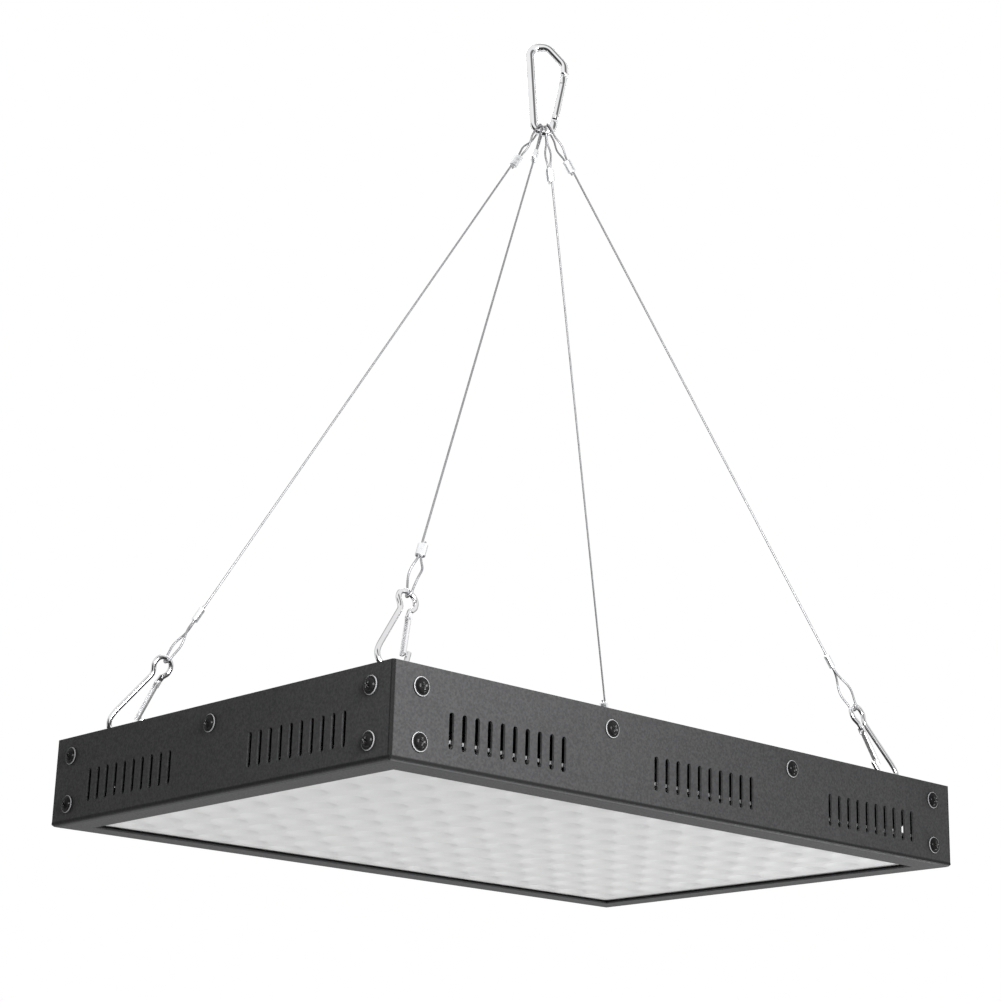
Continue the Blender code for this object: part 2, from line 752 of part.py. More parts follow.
def sling_eye(centre, away, side_start, side_end, arc, length, bulge):
    """Points of one eye, from a strand in the ferrule, round the bar and back to the other strand.

    Each strand stands off by the bar's arc, swells by the bulge halfway, then closes to the ferrule,
    while the plane of the eye turns from side_start at the bar to side_end at the ferrule."""
    start = (side_start - away * side_start.dot(away)).normalized()
    end = (side_end - away * side_end.dot(away)).normalized()
    if start.dot(end) < 0:
        end = -end
    twist = math.atan2(start.cross(end).dot(away), start.dot(end))
    strand = []
    for share in (1.0, 0.75, 0.5, 0.25):
        ease = share * share * (3 - 2 * share)
        late = min(max((share - 0.25) / 0.75, 0.0), 1.0)
        half = STRAND_HALF + (arc - STRAND_HALF) * (1 - ease) + bulge * (4 * share * (1 - share)) ** 2
        side = Matrix.Rotation(twist * late * late * (3 - 2 * late), 3, away) @ start
        strand.append((share * length, half, side))
    path = [centre + away * along - side * half for along, half, side in strand]
    for i in range(5):
        turn = math.pi * i / 4
        path.append(centre - start * arc * math.cos(turn) - away * arc * math.sin(turn))
    path += [centre + away * along + side * half for along, half, side in reversed(strand)]
    return path, end


def slings(frame, steel, aluminium):
    """Each sling is one wire: an eye on the hook, the run, and an eye on the carabiner."""
    bar_way = Vector((math.cos(CARABINER_TURN), math.sin(CARABINER_TURN), 0.0))
    view_way = Vector((-bar_way.y, bar_way.x, 0.0))
    first = None
    for corner in CORNERS:
        name = corner[0]
        up = sling_way(corner)
        low_centre = hook_floor(corner) + up * HOOK_TOP
        high_centre = bar_centre(corner)
        low_face = bar_way if name in ("near", "back") else view_way
        high_face = view_way if name == "near" else bar_way
        turn = math.radians(corner[3])
        bow_way = bar_way * math.cos(turn) + Vector((0.0, 0.0, math.sin(turn)))
        low_arc = HOOK_WIRE + WIRE + LOOP_SLACK
        high_arc = ROD + WIRE + (OUTER_SLACK if abs(corner[3]) > 30.0 else LOOP_SLACK)
        low, low_side = sling_eye(low_centre, up, hook_turn(corner).col[1], low_face, low_arc, LOWER_LOOP, LOWER_BULGE)
        high, high_side = sling_eye(high_centre, -up, up.cross(bow_way), high_face, high_arc, UPPER_LOOP, UPPER_BULGE)
        if low_side.dot(high_side) > 0:
            high = high[::-1]
            high_start = high_side
        else:
            high_start = -high_side
        grip = FERRULE_LENGTH
        path = [low[0] + up * (grip + DEAD_END)] + low + [low[-1] + up * grip]
        path += [high[0] - up * grip] + high + [high[-1] - up * (grip + DEAD_END)]
        wire_curve(f"sling_wire_{name}", path, steel, frame)
        for place, side, level in (
            (low_centre + up * (LOWER_LOOP + grip / 2), low_side, "lower"),
            (high_centre - up * (UPPER_LOOP + grip / 2), high_start, "upper"),
        ):
            if first is None:
                first = ferrule(f"ferrule_{level}_{name}", aluminium, frame)
                made = first
            else:
                made = copy_of(f"ferrule_{level}_{name}", first, frame)
            turn = Matrix((side, up.cross(side), up)).transposed().to_4x4()
            made.matrix_local = Matrix.Translation(place) @ turn


def wire_curve(name, path, finish, frame):
    data = bpy.data.curves.new(name, "CURVE")
    data.dimensions = "3D"
    data.bevel_depth = WIRE
    data.bevel_resolution = 2
    data.use_fill_caps = True
    data.materials.append(finish)
    line = data.splines.new("POLY")
    line.points.add(len(path) - 1)
    for point, place in zip(line.points, path):
        point.co = (*place, 1.0)
    made = bpy.data.objects.new(name, data)
    made.parent = frame
    bpy.context.scene.collection.objects.link(made)


def ferrule(name, metal, frame):
    """An oval sleeve with an oval hole for the two strands."""
    wide, thin = FERRULE_HALF
    outline = stadium((-(wide - thin), 0.0), (wide - thin, 0.0), thin, 4)
    half = FERRULE_LENGTH / 2
    made = object_of(name, *prism(outline, -half, half), metal, frame)
    room = WIRE + GAP
    hole = stadium((-STRAND_HALF, 0.0), (STRAND_HALF, 0.0), room, 4)
    cut(made, "ferrule_hole", prism(hole, -2 * half, 2 * half), frame)
    bake(made)
    smooth(made, 40.0)
    return made


def carabiner(hang, metal):
    """A pear-shaped rod with a straight gate. Local X is its width and Z its length, the bearing at 0."""
    low = -BOW_HEIGHT
    pivot = (CARABINER_PIVOT[0], low + CARABINER_PIVOT[1])
    tip = (CARABINER_TIP[0], low + CARABINER_TIP[1])
    left = BOW_CENTRE - BOW_RADIUS
    right = BOW_CENTRE + BOW_RADIUS
    path = filleted(flat([
        (pivot[0] - 0.0008, pivot[1] - 0.0024, 0.0),
        (right - 0.0002, low, BOW_RADIUS),
        (left, low, BOW_RADIUS),
        (left - 0.0044, ROD, 0.0058),
        (0.0032, ROD, 0.008),
        (tip[0] + 0.0001, tip[1] + 0.0085, 0.007),
        (tip[0] + 0.0004, tip[1] + 0.0006, 0.0),
    ]), 5)
    body = object_of("carabiner_body", *tube(path, ROD, 10, Vector((0.0, 1.0, 0.0))), metal, hang)
    outline = stadium((pivot[1] - 0.0034, pivot[0] - 0.001), (pivot[1], pivot[0]), SLEEVE - 0.0007, 4)
    add(body, "carabiner_knuckle", prism(outline, -KNUCKLE, KNUCKLE, "Y"), hang)
    hole = prism(circle((pivot[1], pivot[0]), RIVET + GAP, 10), -3 * ROD, 3 * ROD, "Y")
    cut(body, "carabiner_rivet_hole", hole, hang)
    smooth(body)
    run = Vector((tip[0] - pivot[0], tip[1] - pivot[1]))
    lean = math.atan2(run.x, run.y)
    profile = [
        (ROD * 0.8, -0.0013),
        (ROD, -0.0008),
        (ROD, run.length - 0.0052),
        (SLEEVE, run.length - 0.0048),
        (SLEEVE, run.length - 0.0004),
        (SLEEVE - 0.0004, run.length),
    ]
    gate = object_of("carabiner_gate", *turned(profile, 10), metal, hang)
    slot = block((-2 * ROD, -KNUCKLE - GAP, -2 * ROD), (2 * ROD, KNUCKLE + GAP, SLEEVE))
    cut(gate, "gate_fork", slot, hang)
    add(gate, "gate_rivet", prism(circle((0.0, 0.0), RIVET, 10), -ROD, ROD, "Y"), hang)
    bake(gate)
    gate.data.transform(Matrix.Rotation(lean, 4, "Y"))
    gate.location = (pivot[0], 0.0, pivot[1])
    smooth(gate)


def empty(name, place):
    made = bpy.data.objects.new(name, None)
    made.location = place
    bpy.context.scene.collection.objects.link(made)
    return made


def build():
    clear_scene()
    paint = material("black powder coat", (0.020, 0.020, 0.021), 0.62)
    cover_paint = material("black cover coat", (0.020, 0.020, 0.021), 0.62)
    panel_plastic = material("milky panel", (0.80, 0.80, 0.80), 0.45)
    rubber = material("black foam", (0.01, 0.01, 0.01), 0.9)
    board_finish = material("white board", (0.75, 0.75, 0.72), 0.5)
    sink_metal = material("raw aluminium", (0.70, 0.71, 0.72), 0.35, 1.0)
    driver_metal = material("driver case", (0.55, 0.56, 0.57), 0.4, 1.0)
    fan_plastic = material("fan plastic", (0.015, 0.015, 0.015), 0.5)
    rotor_plastic = material("rotor plastic", (0.02, 0.02, 0.02), 0.4)
    inlet_plastic = material("inlet plastic", (0.012, 0.012, 0.012), 0.45)
    screw_steel = material("black screw", (0.03, 0.03, 0.03), 0.35, 0.8)
    eye_steel = material("plated eye", (0.60, 0.60, 0.61), 0.3, 1.0)
    hook_steel = material("plated hook", (0.62, 0.62, 0.63), 0.25, 1.0)
    rope_steel = material("wire rope", (0.50, 0.50, 0.51), 0.4, 1.0)
    ferrule_metal = material("pressed aluminium", (0.72, 0.73, 0.74), 0.35, 1.0)
    chrome = material("polished chrome", (0.70, 0.70, 0.71), 0.12, 1.0)
    hang = empty("hang_point", (0.0, 0.0, 0.0))
    hang.rotation_euler = (0.0, 0.0, CARABINER_TURN)
    shift = -HANG_OFFSET
    frame = empty("light_frame", (shift * math.cos(CARABINER_TURN), shift * math.sin(CARABINER_TURN), -HANG_HEIGHT))
    holes = helper(object_of("screw_holes", *screw_holes(), paint, frame))
    housing_tray(frame, paint, holes)
    gasket(frame, rubber)
    light_panel(frame, panel_plastic)
    led_board(frame, board_finish)
    heat_sink(frame, sink_metal, holes)
    driver(frame, driver_metal)
    top_cover(frame, cover_paint, holes)
    for number, side in ((1, -1), (2, 1)):
        fan(frame, number, side, fan_plastic, rotor_plastic)
    mains_inlet(frame, inlet_plastic)
    side_screws(frame, screw_steel)
    hanging_eyes(frame, eye_steel)
    snap_hooks(frame, hook_steel)
    slings(frame, rope_steel, ferrule_metal)
    carabiner(hang, chrome)


build()
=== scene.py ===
# %% [markdown]
# # A hanging LED grow light
#
# The object is a flat black sheet-metal box with rows of ventilation slots. A pale moulded panel fills its
# underside. Four wire slings run up from snap hooks to one carabiner, which hangs from a ceiling hook.
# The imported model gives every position, so each piece below is drawn straight in its place, in metres.

import json
import math

import bpy
import numpy as np
from mathutils import Matrix, Vector


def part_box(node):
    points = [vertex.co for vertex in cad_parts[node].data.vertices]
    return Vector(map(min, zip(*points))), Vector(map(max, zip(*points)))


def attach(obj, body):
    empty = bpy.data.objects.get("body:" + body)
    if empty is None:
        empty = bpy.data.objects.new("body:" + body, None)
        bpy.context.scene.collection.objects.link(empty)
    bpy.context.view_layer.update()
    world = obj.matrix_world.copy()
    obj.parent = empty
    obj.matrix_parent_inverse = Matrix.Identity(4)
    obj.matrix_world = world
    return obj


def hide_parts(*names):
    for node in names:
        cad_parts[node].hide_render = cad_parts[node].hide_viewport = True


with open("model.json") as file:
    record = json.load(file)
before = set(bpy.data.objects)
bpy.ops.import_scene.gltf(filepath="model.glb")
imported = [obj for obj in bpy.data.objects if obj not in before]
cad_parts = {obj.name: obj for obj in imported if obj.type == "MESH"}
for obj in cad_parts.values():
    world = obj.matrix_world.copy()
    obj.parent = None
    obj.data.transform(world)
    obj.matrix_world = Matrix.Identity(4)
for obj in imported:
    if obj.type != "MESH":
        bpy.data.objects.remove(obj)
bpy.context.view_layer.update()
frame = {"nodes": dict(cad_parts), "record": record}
nodes = frame["nodes"]
joints = {joint["name"]: joint for joint in frame["record"]["behaviour"]["joints"]}

# %% [markdown]
# ## Where things are
#
# Four directions carry the whole layout. The housing lies along X and Y. The carabiner stands in a plane
# turned from both. Each sling has its own direction, from its lower ferrule to its upper one, and each hook
# has a gate that turns on a pin across the hook's plane.

# %% Read the housing's planes and the carabiner's plane from the model
def box_of(node):
    """The low and high corners of a node's box."""
    return [np.array(corner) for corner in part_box(node)]


def middle(node):
    """The centre of a node's box."""
    return sum(box_of(node)) / 2


def unit(vector):
    """A vector of the same direction and length one, also for arrays of vectors."""
    vector = np.asarray(vector, float)
    return vector / np.linalg.norm(vector, axis=-1, keepdims=True)


tray_low, tray_high = box_of("housing_tray")
UNDERSIDE = float(tray_low[2])
CENTRE = (tray_low + tray_high) / 2
HALF_LENGTH, HALF_WIDTH = (float(v) for v in (tray_high - tray_low)[:2] / 2)
GATE_PIVOT = np.array(joints["carabiner_gate_hinge"]["pos_m"])
THROUGH = -unit(joints["carabiner_gate_hinge"]["axis"])
ACROSS = np.cross(THROUGH, (0.0, 0.0, 1.0))
print("underside", round(UNDERSIDE, 4), "half size", round(HALF_LENGTH, 4), round(HALF_WIDTH, 4))

# %% Read each sling's line and each hook's own axes
HOOK_PIVOT = (0.0033, 0.0369)
CORNERS = ("near", "left", "right", "back")
hooks = {}
for corner in CORNERS:
    up = unit(middle(f"ferrule_upper_{corner}") - middle(f"ferrule_lower_{corner}"))
    pin = np.array(joints[f"hook_gate_{corner}_hinge"]["pos_m"])
    across = unit(joints[f"hook_gate_{corner}_hinge"]["axis"])
    inward = unit(np.cross(across, up))
    floor_point = pin - inward * HOOK_PIVOT[0] - up * HOOK_PIVOT[1]
    hooks[corner] = {"up": up, "across": across, "inward": inward, "floor": floor_point, "pin": pin}
    print(corner, "leans", round(math.degrees(math.acos(up[2])), 1), "degrees")

# %% [markdown]
# ## Camera
#
# The camera stands low, off the near corner, and looks up a little, so that the underside shows. A long lens
# keeps the box's edges nearly parallel. The small shift slides the picture without turning the camera.

# %% Place the camera
camera_data = bpy.data.cameras.new("camera")
camera = bpy.data.objects.new("camera", camera_data)
bpy.context.scene.collection.objects.link(camera)
bpy.context.scene.camera = camera
camera_data.lens = 80.717
camera_data.sensor_width = 36.0
camera_data.shift_x = -0.11837
camera_data.shift_y = 0.00326
camera_data.clip_start = 0.05
camera_data.clip_end = 60.0
heading = math.radians(44.743)
rise = math.radians(17.683)
roll = math.radians(0.7104)
forward = Vector((math.cos(heading) * math.cos(rise), math.sin(heading) * math.cos(rise), math.sin(rise)))
level = Vector((math.sin(heading), -math.cos(heading), 0.0))
upright = level.cross(forward)
camera_x = level * math.cos(roll) + upright * math.sin(roll)
camera_y = upright * math.cos(roll) - level * math.sin(roll)
turn = Matrix((camera_x, camera_y, -forward)).transposed().to_4x4()
camera_offset = (-0.84545, -0.91303, -0.19532)
camera_place = Vector((CENTRE[0], CENTRE[1], UNDERSIDE)) + Vector(camera_offset)
camera.matrix_world = Matrix.Translation(camera_place) @ turn
print("camera at", tuple(round(v, 4) for v in camera.location))

# %% [markdown]
# ## Light and floor
#
# Behind the object the world is plain white. For lighting it is a dim room with a lit ceiling and a lit wall
# on the right, so that the black faces differ in tone. Polished metal shows only what it reflects, so it gets
# a bright tent with two dark screens instead. A low lamp on the right rakes across the underside, so that the
# shallow cups in the panel cast soft shade.

# %% Make the studio world
CEILING = 0.36
WALL = 0.35
ROOM = 0.03
TENT = 1.35
LEFT_SCREEN = 0.95
RIGHT_SCREEN = 0.80
BEHIND = 0.55


def link(tree, source, target):
    tree.links.new(source, target)


def add_node(tree, kind, **settings):
    """A node with some of its properties set. A setting named in_0 sets the first input."""
    made = tree.nodes.new(kind)
    for key, value in settings.items():
        if key.startswith("in_"):
            made.inputs[int(key[3:])].default_value = value
        else:
            setattr(made, key, value)
    return made


def math_node(tree, operation, a, b=None, clamp=False):
    """A Math node whose inputs are numbers or sockets, and its output socket."""
    made = tree.nodes.new("ShaderNodeMath")
    made.operation = operation
    made.use_clamp = clamp
    for index, value in enumerate((a, b)):
        if value is None:
            continue
        if isinstance(value, (int, float)):
            made.inputs[index].default_value = value
        else:
            tree.links.new(value, made.inputs[index])
    return made.outputs[0]


def ramp(tree, source, low, high, to_low, to_high):
    """A socket's value moved from one range to another and held there."""
    made = add_node(tree, "ShaderNodeMapRange", in_1=low, in_2=high, in_3=to_low, in_4=to_high)
    tree.links.new(source, made.inputs[0])
    return made.outputs[0]


def smooth_step(tree, source, low, high, to_low, to_high):
    """Like ramp, with soft ends."""
    made = ramp(tree, source, low, high, to_low, to_high)
    made.node.interpolation_type = "SMOOTHSTEP"
    return made


def toward(tree, way, direction):
    """The cosine between a world ray's direction and a fixed one."""
    made = add_node(tree, "ShaderNodeVectorMath", operation="DOT_PRODUCT", in_1=tuple(unit(direction)))
    link(tree, way, made.inputs[0])
    return made.outputs["Value"]


def mixed(tree, factor, first, second):
    """The first shader where the factor is zero and the second where it is one."""
    made = add_node(tree, "ShaderNodeMixShader")
    for socket, source in zip(made.inputs, (factor, first, second)):
        link(tree, source, socket)
    return made.outputs[0]


def studio_world():
    """White to the camera, and a dim room with a lit ceiling and one lit wall to rough surfaces.

    To polished ones it is a bright tent with two dark screens, up on the right and down on the left as seen
    from the near corner: dark = (step(-g) + step(g)) * step(c), with g along the screens' diagonal and c
    towards the viewer. A dimmer zone behind the object darkens the rims of rods."""
    made = bpy.data.worlds.new("studio")
    made.use_nodes = True
    tree = made.node_tree
    seen = tree.nodes["Background"]
    seen.inputs["Color"].default_value = (1.0, 1.0, 1.0, 1.0)
    place = add_node(tree, "ShaderNodeTexCoord")
    way = place.outputs["Generated"]
    ceiling = smooth_step(tree, toward(tree, way, (0, 0, 1)), 0.35, 0.55, 0.0, CEILING)
    wall = smooth_step(tree, toward(tree, way, ACROSS), 0.53, 0.81, 0.0, WALL)
    room = add_node(tree, "ShaderNodeBackground")
    link(tree, math_node(tree, "ADD", math_node(tree, "ADD", ceiling, wall), ROOM), room.inputs["Strength"])
    diagonal = toward(tree, way, ACROSS + np.array((0, 0, 1.0)))
    facing = toward(tree, way, -THROUGH - np.array((0, 0, 0.3)))
    left_screen = smooth_step(tree, diagonal, -0.38, -0.28, LEFT_SCREEN, 0.0)
    right_screen = smooth_step(tree, diagonal, 0.38, 0.48, 0.0, RIGHT_SCREEN)
    screens = math_node(
        tree,
        "MULTIPLY",
        math_node(tree, "ADD", left_screen, right_screen),
        smooth_step(tree, facing, 0.12, 0.28, 0.0, 1.0),
    )
    behind = smooth_step(tree, facing, -0.75, -0.35, BEHIND, 0.0)
    tent_level = math_node(tree, "SUBTRACT", math_node(tree, "SUBTRACT", 1.0, screens), behind, True)
    tent = add_node(tree, "ShaderNodeBackground")
    link(tree, math_node(tree, "MULTIPLY", tent_level, TENT), tent.inputs["Strength"])
    ray = add_node(tree, "ShaderNodeLightPath")
    lighting = mixed(tree, ray.outputs["Is Glossy Ray"], room.outputs[0], tent.outputs[0])
    surface = mixed(tree, ray.outputs["Is Camera Ray"], lighting, seen.outputs[0])
    link(tree, surface, tree.nodes["World Output"].inputs["Surface"])
    return made


bpy.context.scene.world = studio_world()
bpy.context.scene.world.cycles.sampling_method = "NONE"
bpy.context.scene.view_settings.view_transform = "Standard"


# %% Make the lamps and the floor
FLOOR_DROP = 0.7
FLOOR_REACH = 14.0
FLOOR_LIFT = 0.62


def area_lamp(name, place, target, size, power):
    """A soft square lamp that faces a point and isn't seen itself."""
    data = bpy.data.lights.new(name, "AREA")
    data.shape = "SQUARE"
    data.size = size
    data.energy = power
    lamp = bpy.data.objects.new(name, data)
    bpy.context.scene.collection.objects.link(lamp)
    lamp.location = place
    lamp.rotation_euler = (Vector(target) - Vector(place)).to_track_quat("-Z", "Y").to_euler()
    lamp.visible_camera = False
    return lamp


area_lamp("front_lamp", (-0.31, -0.56, -0.38), (-0.16, -0.14, -0.47), 0.25, 7.7)
area_lamp("rake_lamp", (0.60, -0.30, -0.95), (-0.05, 0.0, UNDERSIDE), 0.20, 3.4)
area_lamp("fill_lamp", (-0.25, 0.1, -1.05), (-0.1, 0.0, UNDERSIDE), 0.5, 1.3)
area_lamp("top_lamp", (0.45, 0.55, 0.35), (0.0, 0.0, -0.45), 0.6, 6.0)


def plain_material(name, colour, roughness, metallic=0.0):
    """A Principled material with its steady values set on the shader's own sockets."""
    made = bpy.data.materials.new(name)
    made.use_nodes = True
    shader = made.node_tree.nodes["Principled BSDF"]
    shader.inputs["Base Color"].default_value = (*colour, 1.0)
    shader.inputs["Roughness"].default_value = roughness
    shader.inputs["Metallic"].default_value = metallic
    return made


def floor_material():
    """Pale and matt. To the camera it is lifted towards white, to meet the white world with a faint edge."""
    made = plain_material("pale_floor", (0.86, 0.86, 0.86), 0.8)
    tree = made.node_tree
    shader = tree.nodes["Principled BSDF"]
    cloud = add_node(tree, "ShaderNodeTexNoise")
    cloud.inputs["Scale"].default_value = 1.5
    place = add_node(tree, "ShaderNodeTexCoord")
    link(tree, place.outputs["Object"], cloud.inputs["Vector"])
    link(tree, ramp(tree, cloud.outputs[0], 0.3, 0.7, 0.76, 0.84), shader.inputs["Roughness"])
    ray = add_node(tree, "ShaderNodeLightPath")
    shader.inputs["Emission Color"].default_value = (1.0, 1.0, 1.0, 1.0)
    lift = math_node(tree, "MULTIPLY", ray.outputs["Is Camera Ray"], FLOOR_LIFT)
    link(tree, lift, shader.inputs["Emission Strength"])
    return made


floor_mesh = bpy.data.meshes.new("floor")
floor_corners = [(-1, -1), (1, -1), (1, 1), (-1, 1)]
floor_points = [(x * FLOOR_REACH, y * FLOOR_REACH, UNDERSIDE - FLOOR_DROP) for x, y in floor_corners]
floor_mesh.from_pydata(floor_points, [], [(0, 1, 2, 3)])
floor_mesh.materials.append(floor_material())
floor = bpy.data.objects.new("floor", floor_mesh)
bpy.context.scene.collection.objects.link(floor)
floor.visible_glossy = False
print("floor", round(UNDERSIDE - FLOOR_DROP, 3))

# %% [markdown]
# ## Tools for surfaces
#
# Most new pieces are one of two things: a profile carried along a path, such as a wire, or a grid of points
# worked out from two numbers, such as a moulded plate. Both give a grid, so one function turns a grid into
# faces, and another closes its ends.

# %% Turn a grid of points into a closed mesh
def grid_faces(rows, columns, ring=True):
    """Four-sided faces between neighbouring grid points. A ring's last column joins its first."""
    row = np.arange(rows - 1)[:, None] * columns
    column = np.arange(columns if ring else columns - 1)[None, :]
    after = (column + 1) % columns
    below = row + columns
    return np.stack([row + column, row + after, below + after, below + column], -1).reshape(-1, 4)


def closed_rings(rings):
    """A stack of rings with a point added at the middle of the first and last, so that both ends are shut."""
    rows, columns = rings.shape[:2]
    points = np.concatenate([rings.reshape(-1, 3), [rings[0].mean(0)], [rings[-1].mean(0)]])
    column = np.arange(columns)
    after = (column + 1) % columns
    first = np.stack([np.full(columns, rows * columns), after, column], -1)
    below = (rows - 1) * columns
    last = np.stack([np.full(columns, rows * columns + 1), below + column, below + after], -1)
    return points, grid_faces(rows, columns).tolist() + first.tolist() + last.tolist()


def together(parts):
    """Several (points, faces) shapes as one."""
    points = []
    faces = []
    start = 0
    for some_points, some_faces in parts:
        points.append(some_points)
        faces += [[start + i for i in face] for face in some_faces]
        start += len(some_points)
    return np.concatenate(points), faces


def piece(name, shape, material, body, stands_for, sharp=35.0):
    """A finished object at the origin: its mesh, its finish, its body, and the CAD nodes it stands for."""
    points, faces = shape
    mesh = bpy.data.meshes.new(name)
    mesh.from_pydata(np.asarray(points).tolist(), [], faces)
    mesh.materials.append(material)
    mesh.shade_smooth()
    mesh.set_sharp_from_angle(angle=math.radians(sharp))
    made = bpy.data.objects.new(name, mesh)
    bpy.context.scene.collection.objects.link(made)
    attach(made, body)
    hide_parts(*stands_for)
    print(name, len(points), "points", sum(len(face) - 2 for face in faces), "triangles")
    return made


# %% Carry a profile along a path
def rounded_path(corners, steps=10):
    """Straight runs between corner points with an arc of the given radius at each.

    The arc's centre lies on the corner's bisector, and the arc turns from one run's square to the other's."""
    path = []
    for i, (corner, radius) in enumerate(corners):
        here = np.array(corner, float)
        if radius == 0.0:
            path.append(here)
            continue
        back = unit(np.array(corners[i - 1][0]) - here)
        ahead = unit(np.array(corners[i + 1][0]) - here)
        half = math.acos(float(back @ ahead)) / 2
        centre = here + unit(back + ahead) * radius / math.sin(half)
        first = here + back * radius / math.tan(half) - centre
        across = unit(np.cross(np.cross(ahead, back), first)) * radius
        angle = (math.pi - 2 * half) * np.arange(steps + 1)[:, None] / steps
        path.extend(centre + first * np.cos(angle) + across * np.sin(angle))
    return np.array(path)


def length_along(path):
    """The path's length from its start to each of its points."""
    return np.concatenate([[0.0], np.cumsum(np.linalg.norm(np.diff(path, axis=0), axis=1))])


def in_plane(corners, origin, x_way, y_way):
    """Corners given as ((x, y), radius), placed in a plane."""
    return [(origin + x * x_way + y * y_way, radius) for (x, y), radius in corners]


def even(path, step):
    """The same path with points a fixed step apart, by interpolation on its length so far."""
    length = length_along(path)
    places = np.linspace(0.0, length[-1], max(int(length[-1] / step), 2) + 1)
    return np.stack([np.interp(places, length, path[:, k]) for k in range(3)], -1)


def eased(path, passes):
    """The path with each inner point moved to the mean of itself and its neighbours, a number of times."""
    path = path.copy()
    for _ in range(passes):
        path[1:-1] = (path[:-2] + 2 * path[1:-1] + path[2:]) / 4
    return path


def carried(path, profile, side_way, scale=None, twist=None):
    """Rings of a flat profile along a path.

    Each ring point is path + across * x + up * y, where across is side_way made square to the path, and x, y
    is the profile turned by the twist and times the scale at that point."""
    along = unit(np.gradient(path, axis=0))
    side = np.asarray(side_way, float)
    across = unit(side - along * (along @ side)[:, None])
    up = np.cross(along, across)
    x = np.tile(profile[:, 0], (len(path), 1))
    y = np.tile(profile[:, 1], (len(path), 1))
    if twist is not None:
        cos = np.cos(twist)[:, None]
        sin = np.sin(twist)[:, None]
        x, y = x * cos - y * sin, x * sin + y * cos
    if scale is not None:
        x = x * scale[:, None]
        y = y * scale[:, None]
    return path[:, None] + across[:, None] * x[..., None] + up[:, None] * y[..., None]


def circle(radius, sides):
    """Points of a circle, anticlockwise."""
    angle = 2 * np.pi * (np.arange(sides) + 0.5) / sides
    return np.stack([radius * np.cos(angle), radius * np.sin(angle)], -1)


def domed(path, depth):
    """Each ring's scale, which rounds off both ends: sqrt(1 - (1 - d / depth)^2) within depth of an end."""
    length = length_along(path)
    to_end = np.minimum(length, length[-1] - length)
    share = np.clip(to_end / depth, 0.0, 1.0)
    return np.maximum(np.sqrt(1.0 - (1.0 - share) ** 2), 0.12)


def rod(path, radius, sides, side_way, step):
    """A round bar with softly domed ends along a path."""
    spaced = even(path, step)
    first = spaced[:1] + (spaced[1] - spaced[0]) * np.array([[0.0], [0.12], [0.35]])
    last = spaced[-1:] + (spaced[-2] - spaced[-1]) * np.array([[0.35], [0.12], [0.0]])
    spaced = np.concatenate([first, spaced[1:-1], last])
    return closed_rings(carried(spaced, circle(radius, sides), side_way, domed(spaced, radius * 0.6)))


def slab(outline, low, high, origin, x_way, y_way, z_way):
    """A flat plate: an outline drawn on two axes and given thickness along a third.

    The sign of the outline's area times that of the axes' triple product says which way the faces turn."""
    outline = np.asarray(outline, float)
    flat = origin + outline[:, :1] * x_way + outline[:, 1:] * y_way
    points = np.concatenate([flat + np.asarray(z_way) * low, flat + np.asarray(z_way) * high])
    count = len(outline)
    faces = [list(range(count))[::-1], list(range(count, 2 * count))]
    faces += [[i, (i + 1) % count, (i + 1) % count + count, i + count] for i in range(count)]
    after = np.roll(outline, -1, axis=0)
    area = float(np.sum(outline[:, 0] * after[:, 1] - after[:, 0] * outline[:, 1]))
    if area * float(np.cross(x_way, y_way) @ z_way) < 0:
        faces = [face[::-1] for face in faces]
    return points, faces


def stadium(start, end, radius, steps=10):
    """A slot's outline: two half circles joined by straight sides, anticlockwise."""
    start = np.array(start, float)
    end = np.array(end, float)
    along = math.atan2(*(end - start)[::-1])
    turn = np.pi * np.arange(steps + 1) / steps
    halves = []
    for place, angle in ((end, along - np.pi / 2 + turn), (start, along + np.pi / 2 + turn)):
        halves.append(place + radius * np.stack([np.cos(angle), np.sin(angle)], -1))
    return np.concatenate(halves)


print("tools ready")

# %% [markdown]
# ## Finishes
#
# A finish is a small graph of shader nodes that reads the object's own coordinates. The fine grain that
# several finishes share is a node group that gives out masks and heights.

# %% A helper for node groups
def new_group(name, inputs, outputs):
    """An empty node group with number inputs and number outputs."""
    tree = bpy.data.node_groups.new(name, "ShaderNodeTree")
    for label, value in inputs.items():
        socket = tree.interface.new_socket(label, in_out="INPUT", socket_type="NodeSocketFloat")
        socket.default_value = value
    for label in outputs:
        tree.interface.new_socket(label, in_out="OUTPUT", socket_type="NodeSocketFloat")
    return tree, tree.nodes.new("NodeGroupInput"), tree.nodes.new("NodeGroupOutput")


# %% A group for fine grain and slow cloudiness
def build_grain():
    """Two noises on object coordinates: Fine for the skin, Cloud for slow change across a surface."""
    tree, source, result = new_group("grain", {"Fine Scale": 2000.0, "Cloud Scale": 25.0}, ("Fine", "Cloud"))
    place = add_node(tree, "ShaderNodeTexCoord")
    for label, detail in (("Fine", 2.0), ("Cloud", 3.0)):
        noise = add_node(tree, "ShaderNodeTexNoise")
        noise.inputs["Detail"].default_value = detail
        link(tree, place.outputs["Object"], noise.inputs["Vector"])
        link(tree, source.outputs[f"{label} Scale"], noise.inputs["Scale"])
        link(tree, noise.outputs[0], result.inputs[label])
    return tree


grain_group = build_grain()


